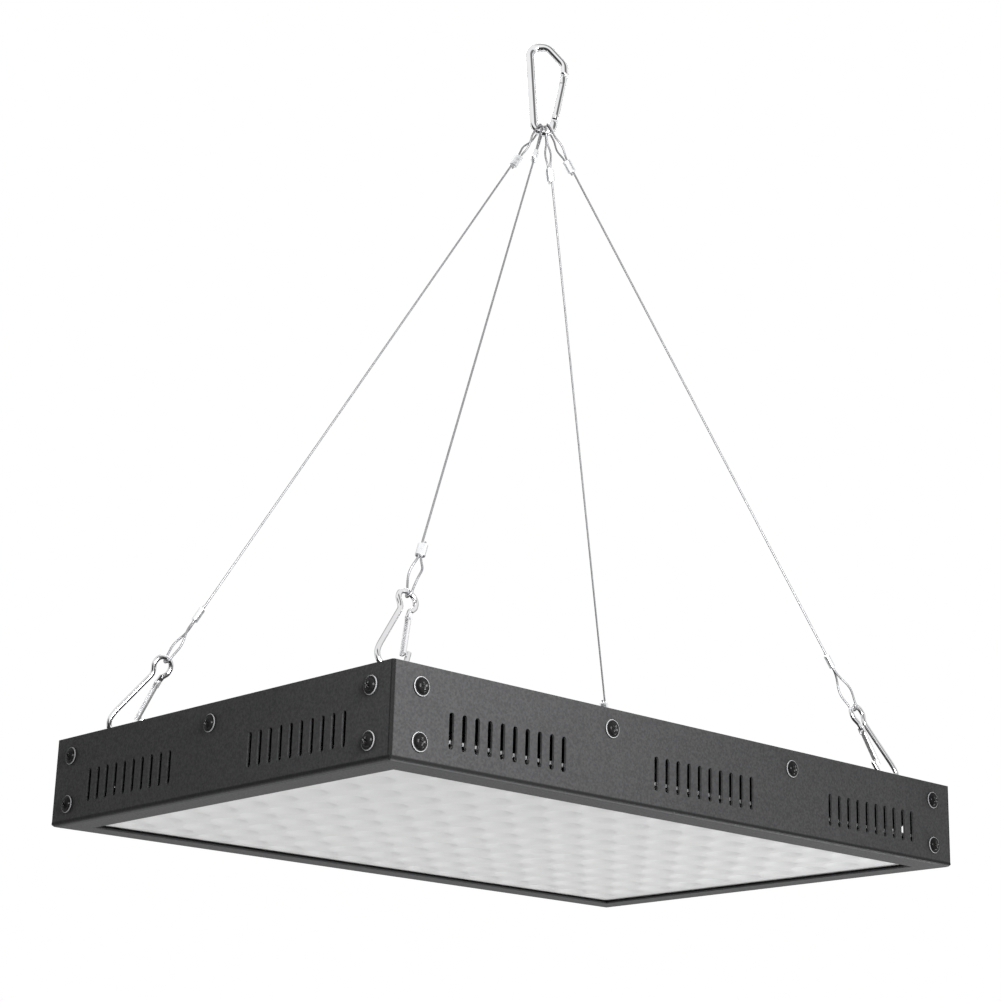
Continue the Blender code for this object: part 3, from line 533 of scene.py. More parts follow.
def finish_material(
    name, colour, dark, roughness, spread, metallic, fine_scale, bump,
    cloud_scale=25.0, cloud_tint=0.5, speckle=0.0, sheen=0.5
):
    """A finish with grain: colour mixes to a darker one by cloud, and roughness and bump follow the grain.

    Speckle is how far the fine grain mixes the two colours too, and sheen is the shader's specular level."""
    made = plain_material(name, colour, roughness, metallic)
    tree = made.node_tree
    shader = tree.nodes["Principled BSDF"]
    grain = add_node(tree, "ShaderNodeGroup", node_tree=grain_group)
    grain.inputs["Fine Scale"].default_value = fine_scale
    grain.inputs["Cloud Scale"].default_value = cloud_scale
    mix = add_node(tree, "ShaderNodeMix", data_type="RGBA")
    mix.inputs["A"].default_value = (*colour, 1.0)
    mix.inputs["B"].default_value = (*dark, 1.0)
    speckles = ramp(tree, grain.outputs["Fine"], 0.35, 0.65, 0.0, speckle)
    clouds = ramp(tree, grain.outputs["Cloud"], 0.35, 0.7, 0.0, cloud_tint)
    link(tree, math_node(tree, "ADD", clouds, speckles, True), mix.inputs["Factor"])
    shader.inputs["Specular IOR Level"].default_value = sheen
    link(tree, mix.outputs["Result"], shader.inputs["Base Color"])
    rough = ramp(tree, grain.outputs["Fine"], 0.3, 0.7, roughness - spread, roughness + spread)
    link(tree, rough, shader.inputs["Roughness"])
    bump_node = add_node(tree, "ShaderNodeBump")
    bump_node.inputs["Distance"].default_value = bump
    link(tree, grain.outputs["Fine"], bump_node.inputs["Height"])
    link(tree, bump_node.outputs["Normal"], shader.inputs["Normal"])
    return made


print("grain group", len(grain_group.nodes), "nodes")

# %% The finishes
powder = dict(cloud_tint=0.12, speckle=0.55, sheen=0.12)
powder_coat = finish_material(
    "powder_coat", (0.040, 0.040, 0.041), (0.018, 0.018, 0.019), 0.55, 0.08, 0.0, 900.0, 0.00008, **powder
)
cover_coat = finish_material(
    "cover_coat", (0.040, 0.040, 0.041), (0.018, 0.018, 0.019), 0.57, 0.08, 0.0, 900.0, 0.00008, **powder
)
milky_plastic = finish_material(
    "milky_plastic", (0.60, 0.60, 0.60), (0.575, 0.575, 0.58), 0.42, 0.05, 0.0, 900.0, 0.00001
)
black_foam = finish_material(
    "black_foam", (0.012, 0.012, 0.012), (0.006, 0.006, 0.006), 0.9, 0.05, 0.0, 2500.0, 0.0001
)
white_board = finish_material(
    "white_board", (0.78, 0.78, 0.76), (0.70, 0.70, 0.67), 0.45, 0.05, 0.0, 800.0, 0.00001
)
mill_aluminium = finish_material(
    "mill_aluminium", (0.80, 0.81, 0.82), (0.70, 0.71, 0.72), 0.32, 0.08, 1.0, 700.0, 0.00001
)
driver_case = finish_material(
    "driver_case", (0.58, 0.59, 0.60), (0.48, 0.49, 0.50), 0.38, 0.08, 1.0, 700.0, 0.00001
)
black_moulding = finish_material(
    "black_moulding", (0.018, 0.018, 0.018), (0.012, 0.012, 0.012), 0.45, 0.06, 0.0, 1500.0, 0.00003
)
rotor_moulding = finish_material(
    "rotor_moulding", (0.024, 0.024, 0.024), (0.016, 0.016, 0.016), 0.38, 0.06, 0.0, 1500.0, 0.00002
)
inlet_moulding = finish_material(
    "inlet_moulding", (0.014, 0.014, 0.014), (0.010, 0.010, 0.010), 0.40, 0.05, 0.0, 1500.0, 0.00002
)
black_screw = finish_material(
    "black_screw", (0.008, 0.008, 0.008), (0.005, 0.005, 0.005), 0.20, 0.05, 0.0, 1200.0, 0.000005, sheen=0.06
)
plated_eye = finish_material(
    "plated_eye", (0.60, 0.60, 0.61), (0.50, 0.50, 0.51), 0.28, 0.06, 1.0, 900.0, 0.00001
)
plated_hook = finish_material(
    "plated_hook", (0.74, 0.74, 0.75), (0.66, 0.66, 0.67), 0.13, 0.03, 1.0, 900.0, 0.000001
)
plated_sheet = finish_material(
    "plated_sheet", (0.84, 0.84, 0.85), (0.76, 0.76, 0.77), 0.36, 0.03, 1.0, 900.0, 0.0000005
)
steel_rope = finish_material(
    "steel_rope", (0.36, 0.36, 0.37), (0.26, 0.26, 0.27), 0.48, 0.06, 1.0, 3000.0, 0.000001, 400.0
)
pressed_sleeve = finish_material(
    "pressed_sleeve", (0.86, 0.87, 0.88), (0.78, 0.79, 0.80), 0.40, 0.05, 1.0, 1500.0, 0.000001, 300.0
)
polished_chrome = finish_material(
    "polished_chrome", (0.80, 0.80, 0.81), (0.74, 0.74, 0.75), 0.07, 0.02, 1.0, 800.0, 0.0000005, 120.0
)
print(len(bpy.data.materials), "materials")


# %% Darken the housing's seams, paint shade along its fold and light on its lip, and paint highlights on the screws' heads
SEAM_BAND = (0.0019, 0.0012)
FOLD_SHADE_START = (0.0006, 0.0012)
FOLD_SHADE_END = (0.0022, 0.0030)
LIP_LIGHT_BAND = (0.0004, 0.0008)


def shade_colour(material, mask, colour):
    """Mixes what feeds the shader's colour towards another colour by a mask."""
    tree = material.node_tree
    socket = tree.nodes["Principled BSDF"].inputs["Base Color"]
    mix = add_node(tree, "ShaderNodeMix", data_type="RGBA")
    link(tree, mask, mix.inputs["Factor"])
    link(tree, socket.links[0].from_socket, mix.inputs["A"])
    mix.inputs["B"].default_value = (*colour, 1.0)
    link(tree, mix.outputs["Result"], socket)


def from_centre(tree):
    """Sockets of x and y measured from the housing's centre and z from its underside, in metres."""
    place = add_node(tree, "ShaderNodeTexCoord")
    axes = add_node(tree, "ShaderNodeSeparateXYZ")
    link(tree, place.outputs["Object"], axes.inputs[0])
    origin = (float(CENTRE[0]), float(CENTRE[1]), UNDERSIDE)
    return [math_node(tree, "SUBTRACT", axes.outputs[i], origin[i]) for i in range(3)]


def far_out(tree, socket, half, band):
    """Zero where |socket| is under half - band[0], rising to one at half - band[1]."""
    return ramp(tree, math_node(tree, "ABSOLUTE", socket), half - band[0], half - band[1], 0.0, 1.0)


def seams_and_fold_shade_mask(tree, x, y, z):
    """One at the four vertical seams, where |x| and |y| are both near their greatest, and along the fold.

    The seams are dark joints. The fold is the band of height just above the lip, and its darkening is painted
    shade."""
    seam_x = far_out(tree, x, HALF_LENGTH, SEAM_BAND)
    seam_y = far_out(tree, y, HALF_WIDTH, SEAM_BAND)
    rise = ramp(tree, z, *FOLD_SHADE_START, 0.0, 0.9)
    fall = ramp(tree, z, *FOLD_SHADE_END, 1.0, 0.0)
    seam = math_node(tree, "MULTIPLY", seam_x, seam_y)
    return math_node(tree, "MAXIMUM", seam, math_node(tree, "MULTIPLY", rise, fall))


coat_tree = powder_coat.node_tree
coat_place = from_centre(coat_tree)
# Painted light: the lip's downward face is made lighter, as if lit by the bright floor below.
shade_colour(powder_coat, ramp(coat_tree, coat_place[2], *LIP_LIGHT_BAND, 0.8, 0.0), (0.070, 0.070, 0.071))
# The four vertical seams are darkened as dark joints, and the band along the fold is painted shade.
shade_colour(powder_coat, seams_and_fold_shade_mask(coat_tree, *coat_place), (0.003, 0.003, 0.003))
# Painted highlights on the screws' heads: lighter edges along the cross recess and a lighter ring on the
# flange's rim.
for attribute, colour in (("recess", (0.16, 0.16, 0.16)), ("rim", (0.36, 0.36, 0.37))):
    read = add_node(black_screw.node_tree, "ShaderNodeAttribute", attribute_name=attribute)
    shade_colour(black_screw, read.outputs["Fac"], colour)
print("housing and screws shaded")

# %% Shade the panel's border and its moulding line
LIP = 0.016
BORDER = (LIP + 0.0062, LIP + 0.0076)


def window_masks(tree):
    """Two masks for the panel: its border along the two near sides, and a fine line along its middle."""
    x, y, _ = from_centre(tree)
    sides = [
        ramp(tree, socket, BORDER[0] - half, BORDER[1] - half, 1.0, 0.0)
        for socket, half in ((x, HALF_LENGTH), (y, HALF_WIDTH))
    ]
    beside = ramp(tree, math_node(tree, "ABSOLUTE", y), 0.00015, 0.0004, 0.16, 0.0)
    along = ramp(tree, math_node(tree, "ABSOLUTE", x), 0.066, 0.068, 1.0, 0.0)
    return math_node(tree, "MAXIMUM", *sides), math_node(tree, "MULTIPLY", beside, along)


border, line = window_masks(milky_plastic.node_tree)
shade_colour(milky_plastic, line, (0.30, 0.30, 0.30))
shade_colour(milky_plastic, border, (0.95, 0.95, 0.95))
print("panel shaded")

# %% Paint shade on the edges of the board and the heat sink behind the slots, with small dots of painted light
SLOT_PITCH = 0.00805
GROUP_PITCH = 0.1375
LIT_DOT_SHIFT = -0.0008
SHADED_EDGE_BAND = (0.006, 0.005)


def slot_shade_and_light_mask(tree, node):
    """One on the outer 6 mm of a node's plan, as painted shade where the edge shows through the slots, but
    zero in small painted light spots that face each slot's low end.

    A spot is where the fraction of x / pitch, from the middle of its group of slots, is near a half."""
    low, high = box_of(node)
    x, y, _ = from_centre(tree)
    half_x, half_y = (float(v) for v in (high - low)[:2] / 2)
    outer_x = far_out(tree, x, half_x, SHADED_EDGE_BAND)
    outer_y = far_out(tree, y, half_y, SHADED_EDGE_BAND)
    outer = math_node(tree, "MAXIMUM", outer_x, outer_y)
    shifted = math_node(tree, "SUBTRACT", x, HALF_WIDTH - half_y + LIT_DOT_SHIFT)
    group = math_node(tree, "ROUND", math_node(tree, "DIVIDE", shifted, GROUP_PITCH))
    in_group = math_node(tree, "SUBTRACT", shifted, math_node(tree, "MULTIPLY", group, GROUP_PITCH))
    phase = math_node(tree, "FRACT", math_node(tree, "DIVIDE", in_group, SLOT_PITCH))
    off = math_node(tree, "ABSOLUTE", math_node(tree, "SUBTRACT", phase, 0.5))
    return math_node(tree, "MULTIPLY", outer, ramp(tree, off, 0.05, 0.09, 0.0, 1.0))


# Painted shade: the edges seen through the slots are blackened, except for small spots of painted light.
for material, node in ((white_board, "led_board"), (mill_aluminium, "heat_sink")):
    shade_colour(material, slot_shade_and_light_mask(material.node_tree, node), (0.004, 0.004, 0.004))
print("board and sink shaded")

# %% [markdown]
# ## Housing, cover and inner parts
#
# The folded box, its cover, the gasket, the board, the heat sink, the fans and the inlet have the right shape
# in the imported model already, so they keep their meshes and only change their finish.

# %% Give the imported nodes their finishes
node_finishes = {
    "housing_tray": powder_coat,
    "top_cover": cover_coat,
    "panel_gasket": black_foam,
    "led_board": white_board,
    "heat_sink": mill_aluminium,
    "led_driver": driver_case,
    "fan_frame_1": black_moulding,
    "fan_frame_2": black_moulding,
    "fan_rotor_1": rotor_moulding,
    "fan_rotor_2": rotor_moulding,
    "mains_inlet": inlet_moulding,
}
for node_name, material in node_finishes.items():
    kept = nodes[node_name]
    kept.data.materials.clear()
    kept.data.materials.append(material)
print(len(node_finishes), "nodes repainted")

# %% [markdown]
# ## Light panel
#
# The panel is one milky moulding with a lattice of shallow round cups, one under each diode. A grid of points
# over the plate rises into each cup by a smooth function of the distance to the nearest cup's centre. Cutting
# the cups one by one would leave hard rims, and the grid gives the soft ones that a mould leaves.

# %% Mould the panel
CUP_PITCH = 0.025
CUP_RADIUS = 0.0105
CUP_DEPTH = 0.0034
CUP_ROWS = (15, 10)
GRID_STEP = 0.00125


def panel_surface():
    """Height above the plate's underside: depth * (1 - (r / radius)^2)^1.5 inside each cup and zero outside.

    r is the distance to the nearest point of a square lattice centred on the plate."""
    low, high = box_of("light_panel")
    x = np.linspace(low[0], high[0], int((high[0] - low[0]) / GRID_STEP) + 1)
    y = np.linspace(low[1], high[1], int((high[1] - low[1]) / GRID_STEP) + 1)
    grid_x, grid_y = np.meshgrid(x, y, indexing="ij")
    offsets = []
    inside = np.ones_like(grid_x, bool)
    for grid, count in ((grid_x - CENTRE[0], CUP_ROWS[0]), (grid_y - CENTRE[1], CUP_ROWS[1])):
        index = np.round(grid / CUP_PITCH - (count - 1) / 2 % 1) + (count - 1) / 2 % 1
        inside &= np.abs(index) <= (count - 1) / 2 + 0.01
        offsets.append(grid - index * CUP_PITCH)
    share = np.clip((offsets[0] ** 2 + offsets[1] ** 2) / CUP_RADIUS**2, 0.0, 1.0)
    rise = CUP_DEPTH * (1.0 - share) ** 1.5 * inside
    under = np.stack([grid_x, grid_y, low[2] + rise], -1)
    return under, high[2]


def panel_shape():
    """The moulded underside, four walls and a flat back, as one closed shell."""
    under, top = panel_surface()
    rows, columns = under.shape[:2]
    index = np.arange(rows * columns).reshape(rows, columns)
    rim = np.concatenate([index[:-1, 0], index[-1, :-1], index[:0:-1, -1], index[0, :0:-1]])
    points = under.reshape(-1, 3)
    back = points[rim].copy()
    back[:, 2] = top
    count = len(rim)
    after = (np.arange(count) + 1) % count
    start = len(points)
    walls = np.stack([rim, rim[after], start + after, start + np.arange(count)], -1)
    faces = grid_faces(rows, columns, ring=False).tolist() + walls.tolist()
    faces.append(list(range(start, start + count)))
    return np.concatenate([points, back]), faces


piece("panel_moulding", panel_shape(), milky_plastic, "light", ["light_panel"], 50.0)

# %% [markdown]
# ## Side screws
#
# Each screw is a black pan head on a round flange with a cross recess. It is turned from a profile, and the
# recess is pressed into the dome by lowering the points near two crossing lines. One screw is worked out and
# then turned and moved to all 22 places, each with its recess at its own angle, as hand-driven screws are.

# %% Turn one screw
SCREW_GAP = 0.0003
FLANGE_TOP = 0.0011
HEAD_TOP = 0.0029
CROSS_HALF_WIDTH = 0.00048
CROSS_REACH = 0.0019
CROSS_DEPTH = 0.0012


def cross_share(x, y):
    """One inside a cross of two arms, falling to zero at its edges."""
    arms = []
    for a, b in ((x, y), (y, x)):
        beside = np.clip((CROSS_HALF_WIDTH - np.abs(b)) / 0.00012, 0, 1)
        arms.append(beside * np.clip((CROSS_REACH - np.abs(a)) / 0.0006, 0, 1))
    return np.maximum(*arms)


def screw_shape(sides=48):
    """Rings from the crown down. The dome is a superellipse, and the recess is a cross with tapered arms."""
    dome = np.linspace(0.03, 1.0, 17)
    radius = [0.0034 * dome, np.array([0.0036, 0.0042, 0.0045, 0.00468, 0.0047, 0.00462, 0.0020, 0.0020])]
    height = [
        FLANGE_TOP + (HEAD_TOP - FLANGE_TOP) * (1 - dome**3.2) ** 0.55,
        np.array([0.00105, 0.00112, 0.00106, 0.00092, 0.0006, SCREW_GAP, SCREW_GAP, -0.0048]),
    ]
    radius = np.concatenate(radius)[:, None]
    height = np.concatenate(height)[:, None]
    angle = 2 * np.pi * np.arange(sides)[None, :] / sides
    x = radius * np.cos(angle)
    y = radius * np.sin(angle)
    recess = cross_share(x, y) * CROSS_DEPTH * (radius < 0.0034)
    rings = np.stack([x, y, height - recess + 0 * x], -1)[::-1]
    return closed_rings(rings)


def screw_set():
    """The screw at every place, its +Z turned to the wall's outward normal and its head on the wall."""
    points, faces = screw_shape()
    walls = {"front": (0, -1, 0), "back": (0, 1, 0), "left": (-1, 0, 0), "right": (1, 0, 0)}
    names = sorted(name for name in nodes if name.startswith("screw_"))
    angles = np.random.default_rng(7).uniform(0, np.pi / 2, len(names))
    shapes = []
    for name, angle in zip(names, angles):
        out = np.array(walls[name.split("_")[1]], float)
        seat = middle(name)
        along = int(np.argmax(np.abs(out)))
        seat[along] = CENTRE[along] + out[along] * (HALF_WIDTH if along == 1 else HALF_LENGTH)
        x_way = np.cos(angle) * np.cross(out, (0, 0, 1)) + np.sin(angle) * np.array((0, 0, 1.0))
        y_way = np.cross(out, x_way)
        shapes.append((seat + points[:, :1] * x_way + points[:, 1:2] * y_way + points[:, 2:] * out, faces))
    return together(shapes), names


shape, screw_names = screw_set()
screws = piece("side_screws", shape, black_screw, "light", screw_names, 40.0)


def screw_highlight_masks():
    """For each point of one screw, two masks of painted highlight: the rim, exp(-((r - 4.55 mm) / 0.16 mm)^2)
    above the seat, and the edges of the recess, 4 s (1 - s) with s the cross share."""
    points, _ = screw_shape()
    radius = np.linalg.norm(points[:, :2], axis=1)
    rim = np.exp(-(((radius - 0.00455) / 0.00016) ** 2)) * (points[:, 2] > SCREW_GAP + 0.0004)
    share = cross_share(points[:, 0], points[:, 1])
    return {"rim": rim, "recess": 4 * share * (1 - share)}


for attribute, values in screw_highlight_masks().items():
    made = screws.data.attributes.new(attribute, "FLOAT", "POINT")
    made.data.foreach_set("value", np.tile(values, len(screw_names)).astype(np.float32))
    print(attribute, "reaches", round(float(values.max()), 2))

# %% [markdown]
# ## Snap hooks
#
# A snap hook is a length of round wire bent like a gourd: a wide lobe for the hanging eye, a waist, and a
# small eye for the sling. A folded strip closes the lobe and turns on a pin at the waist. The wire is a
# circle carried along straight runs with rounded corners, which is how such wire is bent on pegs.

# %% Bend the four hook wires
HOOK_WIRE = 0.0014
HOOK_NOSE = 0.0087
HOOK_LOBE = 0.0080
HOOK_EYE = 0.0050
HOOK_TOP = 0.0500


def hook_outline():
    """Corner points (across, up) and radii, from the nose round the lobe and small eye to the gate's tab."""
    return [
        ((HOOK_NOSE, 0.0170), 0.0),
        ((HOOK_NOSE, 0.0), 0.0062),
        ((-HOOK_LOBE, 0.0), 0.0062),
        ((-HOOK_LOBE, 0.0090), 0.025),
        ((-0.0022, 0.0388), 0.005),
        ((-HOOK_EYE - 0.0004, 0.0434), 0.004),
        ((-HOOK_EYE, HOOK_TOP), 0.0047),
        ((HOOK_EYE, HOOK_TOP), 0.0047),
        ((HOOK_EYE + 0.0004, 0.0436), 0.003),
        ((HOOK_PIVOT[0], HOOK_PIVOT[1] + 0.0026), 0.0),
    ]


for corner in CORNERS:
    hook = hooks[corner]
    path = rounded_path(in_plane(hook_outline(), hook["floor"], hook["inward"], hook["up"]))
    wire = rod(path, HOOK_WIRE, 18, hook["across"], 0.0006)
    tab = stadium((HOOK_PIVOT[1], HOOK_PIVOT[0]), (HOOK_PIVOT[1] + 0.0032, HOOK_PIVOT[0] + 0.0002), 0.0015)
    plate = slab(tab, -0.0006, 0.0006, hook["floor"], hook["up"], hook["inward"], hook["across"])
    shape = together([wire, plate])
    piece(f"hook_wire_{corner}", shape, plated_hook, "light", [f"hook_body_{corner}"])

# %% Fold the four gates
GATE_TIP = (0.0060, 0.0134)
GATE_HALF_WIDTH = 0.0017
GATE_HALF_DEPTH = 0.0009
GATE_SHEET = 0.0006
GATE_PIN = 0.0006
PIN_STAND = 0.0003


def channel(half_width, half_depth, sheet, corner_radius=0.0008, steps=5):
    """A folded strip's section: a U with round outer corners, anticlockwise, its web on the +x side."""
    turn = np.linspace(0, np.pi / 2, steps)
    quarter = np.stack([np.sin(turn), -np.cos(turn)], -1)
    corner_at = np.array((half_depth - corner_radius, corner_radius - half_width))
    outer = corner_at + corner_radius * quarter
    inner = corner_at + (corner_radius - sheet) * quarter
    return np.concatenate([
        [(-half_depth, -half_width)],
        outer,
        outer[::-1] * (1, -1),
        [(-half_depth, half_width), (-half_depth, half_width - sheet)],
        inner * (1, -1),
        inner[::-1],
        [(-half_depth, -half_width + sheet)],
    ])


run = np.array(GATE_TIP) - np.array(HOOK_PIVOT)
length = float(np.linalg.norm(run))
section = channel(GATE_HALF_WIDTH, GATE_HALF_DEPTH, GATE_SHEET)
for corner in CORNERS:
    hook = hooks[corner]
    down = unit(run[0] * hook["inward"] + run[1] * hook["up"])
    outward = np.cross(hook["across"], -down)
    pin = hook["pin"]
    parts = [slab(section, 0.0021, length, pin, outward, hook["across"], down)]
    for side in (-1, 1):
        cheek = stadium((0.0, 0.0), (0.0025, 0.0), GATE_HALF_DEPTH + 0.0002)
        near = side * GATE_HALF_WIDTH
        low, high = sorted((near, near - side * GATE_SHEET))
        parts.append(slab(cheek, low, high, pin, down, outward, hook["across"]))
    pin_half = GATE_HALF_WIDTH + PIN_STAND
    parts.append(slab(circle(GATE_PIN, 16), -pin_half, pin_half, pin, down, outward, hook["across"]))
    body = f"hook_gate_{corner}"
    piece(f"gate_strip_{corner}", together(parts), plated_sheet, body, [body])

# %% [markdown]
# ## Hanging eyes
#
# Each hook holds a low staple of bent rod whose legs pass through the cover, with a nut on each leg below.

# %% Bend the hanging eyes
EYE_WIRE = 0.0015
EYE_SPAN = 0.013
EYE_GAP = 0.0003
LEG_FOOT = 0.041
NUT_TOP = 0.045
NUT_RADIUS = 0.0035
NUT_HEIGHT = 0.0018


def hanging_eye(corner):
    """A staple across Y over the hook's wire, and a six-sided nut under the cover on each leg."""
    hook = hooks[corner]
    bar = hook["floor"] + hook["up"] * (HOOK_WIRE + EYE_WIRE + EYE_GAP)
    foot = UNDERSIDE + LEG_FOOT
    half = EYE_SPAN / 2
    corners = [
        ((bar[0], bar[1] - half, foot), 0.0),
        ((bar[0], bar[1] - half, bar[2]), 0.003),
        ((bar[0], bar[1] + half, bar[2]), 0.003),
        ((bar[0], bar[1] + half, foot), 0.0),
    ]
    parts = [rod(rounded_path(corners), EYE_WIRE, 18, (1.0, 0.0, 0.0), 0.0006)]
    for side in (-1, 1):
        place = np.array((bar[0], bar[1] + side * half, UNDERSIDE + NUT_TOP))
        parts.append(slab(circle(NUT_RADIUS, 6), -NUT_HEIGHT, 0.0, place, *np.eye(3)))
    return together(parts)


for corner in CORNERS:
    shape = hanging_eye(corner)
    piece(f"eye_staple_{corner}", shape, plated_eye, "light", [f"hanging_eye_{corner}"])

# %% [markdown]
# ## Wire slings
#
# A sling is one steel rope with an eye at each end, each closed by a pressed sleeve. The rope's six outer
# strands are real shape: its section is a six-lobed ring, turned steadily as it is carried along the path.

# %% Lay the path of each sling
ROPE = 0.0006
STRAND_HALF = 0.00075
SLEEVE_LENGTH = 0.0086
UPPER_EYE = 0.0218
LOWER_EYE = 0.0256
UPPER_BULGE = 0.0008
LOWER_BULGE = 0.0026
HOOK_SLACK = 0.00035
TAIL = 0.0015
BOW_DROP = -0.0556
BOW_CENTRE = 0.0020
BOW_RADIUS = 0.0057
BOW_TURNS = {"near": -12.5, "left": -41.0, "right": 41.0, "back": 12.5}
ROD = 0.0027


def sling_eye(centre, away, start_side, end_side, arc, length, bulge, steps=20):
    """One eye: two legs and half a circle round the bar.

    At a share s of its length a leg stands off by strand + (arc - strand) * (1 - ease(s)) + 16 * bulge *
    s^2 * (1 - s)^2, where ease is 3 s^2 - 2 s^3, on a side that turns from start_side to end_side."""
    start = unit(start_side - away * (start_side @ away))
    end = unit(end_side - away * (end_side @ away))
    if start @ end < 0:
        end = -end
    third = np.cross(away, start)
    turn = math.atan2(float(end @ third), float(end @ start))
    share = np.linspace(1.0, 0.02, steps)[:, None]
    ease = share**2 * (3 - 2 * share)
    late = np.clip((share - 0.25) / 0.75, 0, 1)
    angle = turn * late**2 * (3 - 2 * late)
    side = start * np.cos(angle) + third * np.sin(angle)
    half = STRAND_HALF + (arc - STRAND_HALF) * (1 - ease) + bulge * 16 * share**2 * (1 - share) ** 2
    first = centre + away * share * length - side * half
    last = (centre + away * share * length + side * half)[::-1]
    swing = np.linspace(0, np.pi, 15)[:, None]
    bow = centre - start * arc * np.cos(swing) - away * arc * np.sin(swing)
    return np.concatenate([first, bow, last]), end


def sling_path(corner):
    """The whole rope: tail, eye on the hook, run, eye on the carabiner, tail. Also where its sleeves sit."""
    hook = hooks[corner]
    up = hook["up"]
    turn = math.radians(BOW_TURNS[corner])
    low_centre = hook["floor"] + up * HOOK_TOP
    bow_z = BOW_DROP + BOW_RADIUS * (1 - math.cos(turn))
    high_centre = ACROSS * (BOW_CENTRE + BOW_RADIUS * math.sin(turn)) + np.array((0, 0, bow_z))
    bow_way = ACROSS * math.cos(turn) + np.array((0, 0, math.sin(turn)))
    low_face = ACROSS if corner in ("near", "back") else THROUGH
    high_face = THROUGH if corner == "near" else ACROSS
    low_arc = HOOK_WIRE + ROPE + HOOK_SLACK
    high_arc = ROD + ROPE + (0.0006 if abs(BOW_TURNS[corner]) > 30 else 0.00035)
    high_start = np.cross(up, bow_way)
    low, low_side = sling_eye(low_centre, up, hook["across"], low_face, low_arc, LOWER_EYE, LOWER_BULGE)
    high, high_side = sling_eye(high_centre, -up, high_start, high_face, high_arc, UPPER_EYE, UPPER_BULGE)
    if low_side @ high_side > 0:
        high = high[::-1]
        high_side = -high_side
    grip = SLEEVE_LENGTH
    parts = [[low[0] + up * (grip + TAIL)], low, [low[-1] + up * grip], [high[0] - up * grip], high]
    parts.append([high[-1] - up * (grip + TAIL)])
    path = np.concatenate([np.asarray(part).reshape(-1, 3) for part in parts])
    sleeves = {
        "lower": (low_centre + up * (LOWER_EYE + grip / 2), low_side),
        "upper": (high_centre - up * (UPPER_EYE + grip / 2), high_side),
    }
    return path, sleeves


sling_paths = {corner: sling_path(corner) for corner in CORNERS}
for corner, (path, _) in sling_paths.items():
    print(corner, "rope", round(float(length_along(path)[-1]) * 1000, 1), "mm long")

# %% Twist the strands round each path
LAY_LENGTH = 0.0085
ROPE_STEP = 0.0005


def rope_profile(sides=18):
    """A six-lobed ring: radius times 0.88 + 0.12 |cos 3 a|."""
    angle = 2 * np.pi * np.arange(sides) / sides
    radius = ROPE * (0.88 + 0.12 * np.abs(np.cos(3 * angle)))
    return np.stack([radius * np.cos(angle), radius * np.sin(angle)], -1)


for corner in CORNERS:
    hook = hooks[corner]
    path = eased(even(sling_paths[corner][0], ROPE_STEP), 3)
    sign = 1.0 if hook["inward"] @ ACROSS > 0 else -1.0
    side_way = unit(hook["inward"] * sign + ACROSS)
    twist = 2 * np.pi * np.arange(len(path)) * ROPE_STEP / LAY_LENGTH
    rings = carried(path, rope_profile(), side_way, None, twist)
    piece(f"rope_{corner}", closed_rings(rings), steel_rope, "light", [f"sling_wire_{corner}"], 80.0)

# %% [markdown]
# ## Pressed sleeves
#
# Each sleeve is a short oval tube squeezed over two ropes. The press leaves a flat band across the middle and
# a slight bulge at each end, so the surface is an oval whose half sizes change along its length.

# %% Press the sleeves
def sleeve_shape(place, side, up):
    """Rings of a superellipse along the rope: half sizes swell at the ends and dip at two press marks."""
    share = np.concatenate([[-1.0, -0.985, -0.94], np.linspace(-0.86, 0.86, 27), [0.94, 0.985, 1.0]])[:, None]
    round_off = np.sqrt(np.clip(1 - ((np.abs(share) - 0.84) / 0.17).clip(0) ** 2, 0.30, 1))
    marks = sum(np.exp(-(((share - middle_at) / 0.22) ** 2)) for middle_at in (-0.35, 0.35))
    angle = 2 * np.pi * np.arange(36)[None, :] / 36
    wide = (0.0026 - 0.00005 * marks) * round_off
    thin = (0.0017 - 0.00006 * marks) * round_off
    cos = np.sign(np.cos(angle)) * np.abs(np.cos(angle)) ** 0.85
    sin = np.sign(np.sin(angle)) * np.abs(np.sin(angle)) ** 0.85
    third = np.cross(up, side)
    along = share * SLEEVE_LENGTH / 2 + 0 * angle
    rings = place + side * (wide * cos)[..., None] + third * (thin * sin)[..., None] + up * along[..., None]
    return closed_rings(rings)


for corner in CORNERS:
    for level_name, (place, side) in sling_paths[corner][1].items():
        shape = sleeve_shape(place, side, hooks[corner]["up"])
        node = f"ferrule_{level_name}_{corner}"
        piece(f"sleeve_{level_name}_{corner}", shape, pressed_sleeve, "light", [node])

# %% [markdown]
# ## Carabiner
#
# The carabiner is a bent rod with a straight gate that turns inwards on a rivet. The rod is a circle carried
# along rounded corners. The gate is turned from a profile with a collar at the nose, and its lower end is
# split into two cheeks that straddle a flat on the rod.

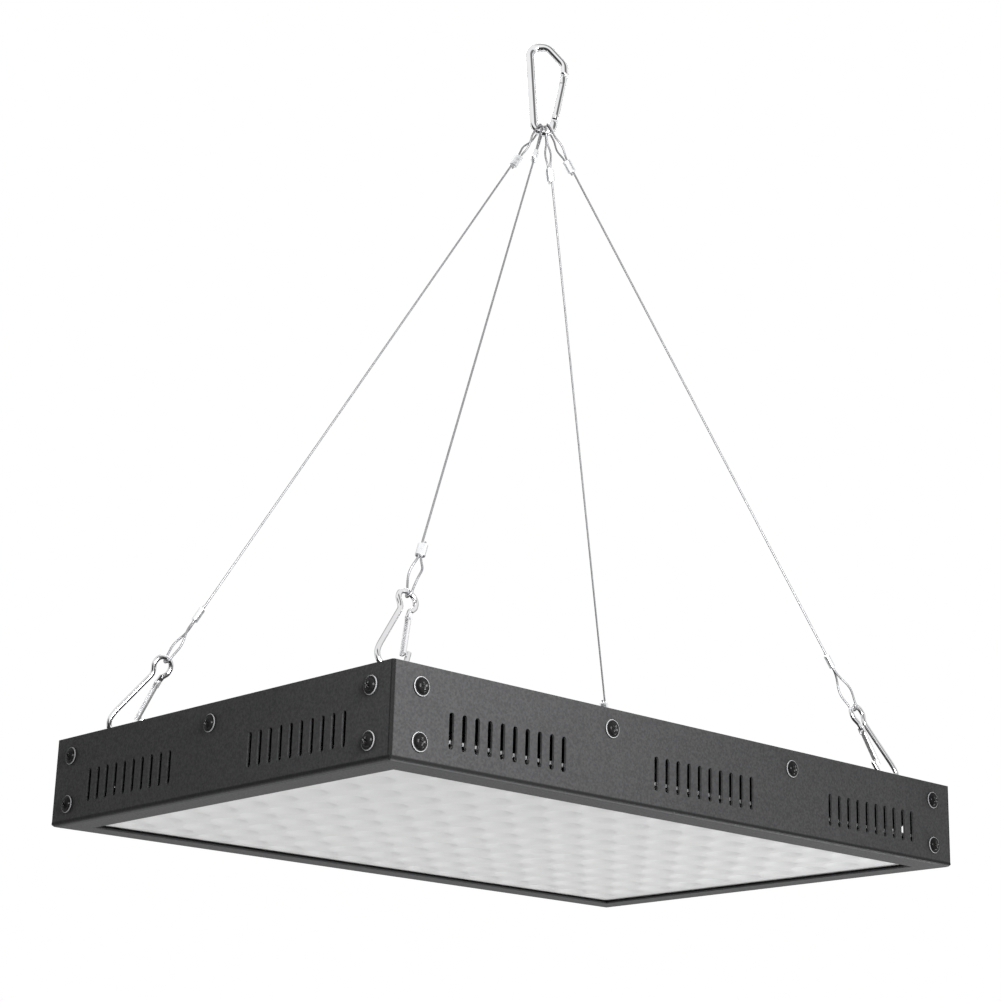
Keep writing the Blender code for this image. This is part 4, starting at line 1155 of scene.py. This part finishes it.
# %% Bend the rod and turn the gate
CARABINER_PIVOT = (0.0089, BOW_DROP + 0.0100)
CARABINER_TIP = (0.0136, BOW_DROP + 0.0376)
UP = np.array((0.0, 0.0, 1.0))
bow_left = BOW_CENTRE - BOW_RADIUS
bow_right = BOW_CENTRE + BOW_RADIUS
rod_corners = [
    ((CARABINER_PIVOT[0] - 0.0008, CARABINER_PIVOT[1] - 0.0024), 0.0),
    ((bow_right - 0.0002, BOW_DROP), BOW_RADIUS),
    ((bow_left, BOW_DROP), BOW_RADIUS),
    ((bow_left - 0.0044, ROD), 0.0058),
    ((0.0032, ROD), 0.008),
    ((CARABINER_TIP[0] + 0.0001, CARABINER_TIP[1] + 0.0085), 0.007),
    ((CARABINER_TIP[0] + 0.0004, CARABINER_TIP[1] + 0.0006), 0.0),
]
rod_path = rounded_path(in_plane(rod_corners, np.zeros(3), ACROSS, UP), 16)
bent_rod = rod(rod_path, ROD, 28, THROUGH, 0.0007)
knuckle = stadium((CARABINER_PIVOT[1] - 0.0034, CARABINER_PIVOT[0] - 0.001), CARABINER_PIVOT[::-1], 0.0019)
knuckle_plate = slab(knuckle, -0.0011, 0.0011, np.zeros(3), UP, ACROSS, THROUGH)
rod_shape = together([bent_rod, knuckle_plate])
piece("carabiner_rod", rod_shape, polished_chrome, "carabiner", ["carabiner_body"])


def turned(profile, sides, origin, axis, x_way):
    """Rings of (radius, height) pairs turned about an axis, from the bottom up."""
    radius = np.array([r for r, _ in profile])[:, None, None]
    height = np.array([h for _, h in profile])[:, None, None]
    angle = (2 * np.pi * np.arange(sides) / sides)[None, :, None]
    y_way = np.cross(axis, x_way)
    return closed_rings(origin + radius * (x_way * np.cos(angle) + y_way * np.sin(angle)) + height * axis)


run = np.array(CARABINER_TIP) - np.array(CARABINER_PIVOT)
gate_length = float(np.linalg.norm(run))
gate_axis = unit(run[0] * ACROSS + run[1] * UP)
gate_profile = [
    (0.0019, 0.0026),
    (0.0023, 0.0031),
    (0.0023, gate_length - 0.0056),
    (0.00232, gate_length - 0.0053),
    (0.0026, gate_length - 0.0050),
    (0.0026, gate_length - 0.0006),
    (0.0024, gate_length - 0.0002),
    (0.0020, gate_length),
]
gate_parts = [turned(gate_profile, 28, GATE_PIVOT, gate_axis, THROUGH)]
gate_side = np.cross(gate_axis, THROUGH)
for side in (-1, 1):
    angle = np.linspace(-0.86, 0.86, 12)
    arc = np.stack([0.0023 * np.sin(angle), 0.0023 * np.cos(angle) * side], -1)
    gate_parts.append(slab(arc, -0.0013, 0.0034, GATE_PIVOT, gate_side, THROUGH, gate_axis))
gate_parts.append(slab(circle(0.0010, 20), -0.0026, 0.0026, GATE_PIVOT, gate_axis, gate_side, THROUGH))
gate_shape = together(gate_parts)
piece("carabiner_gate_rod", gate_shape, polished_chrome, "carabiner_gate", ["carabiner_gate"])
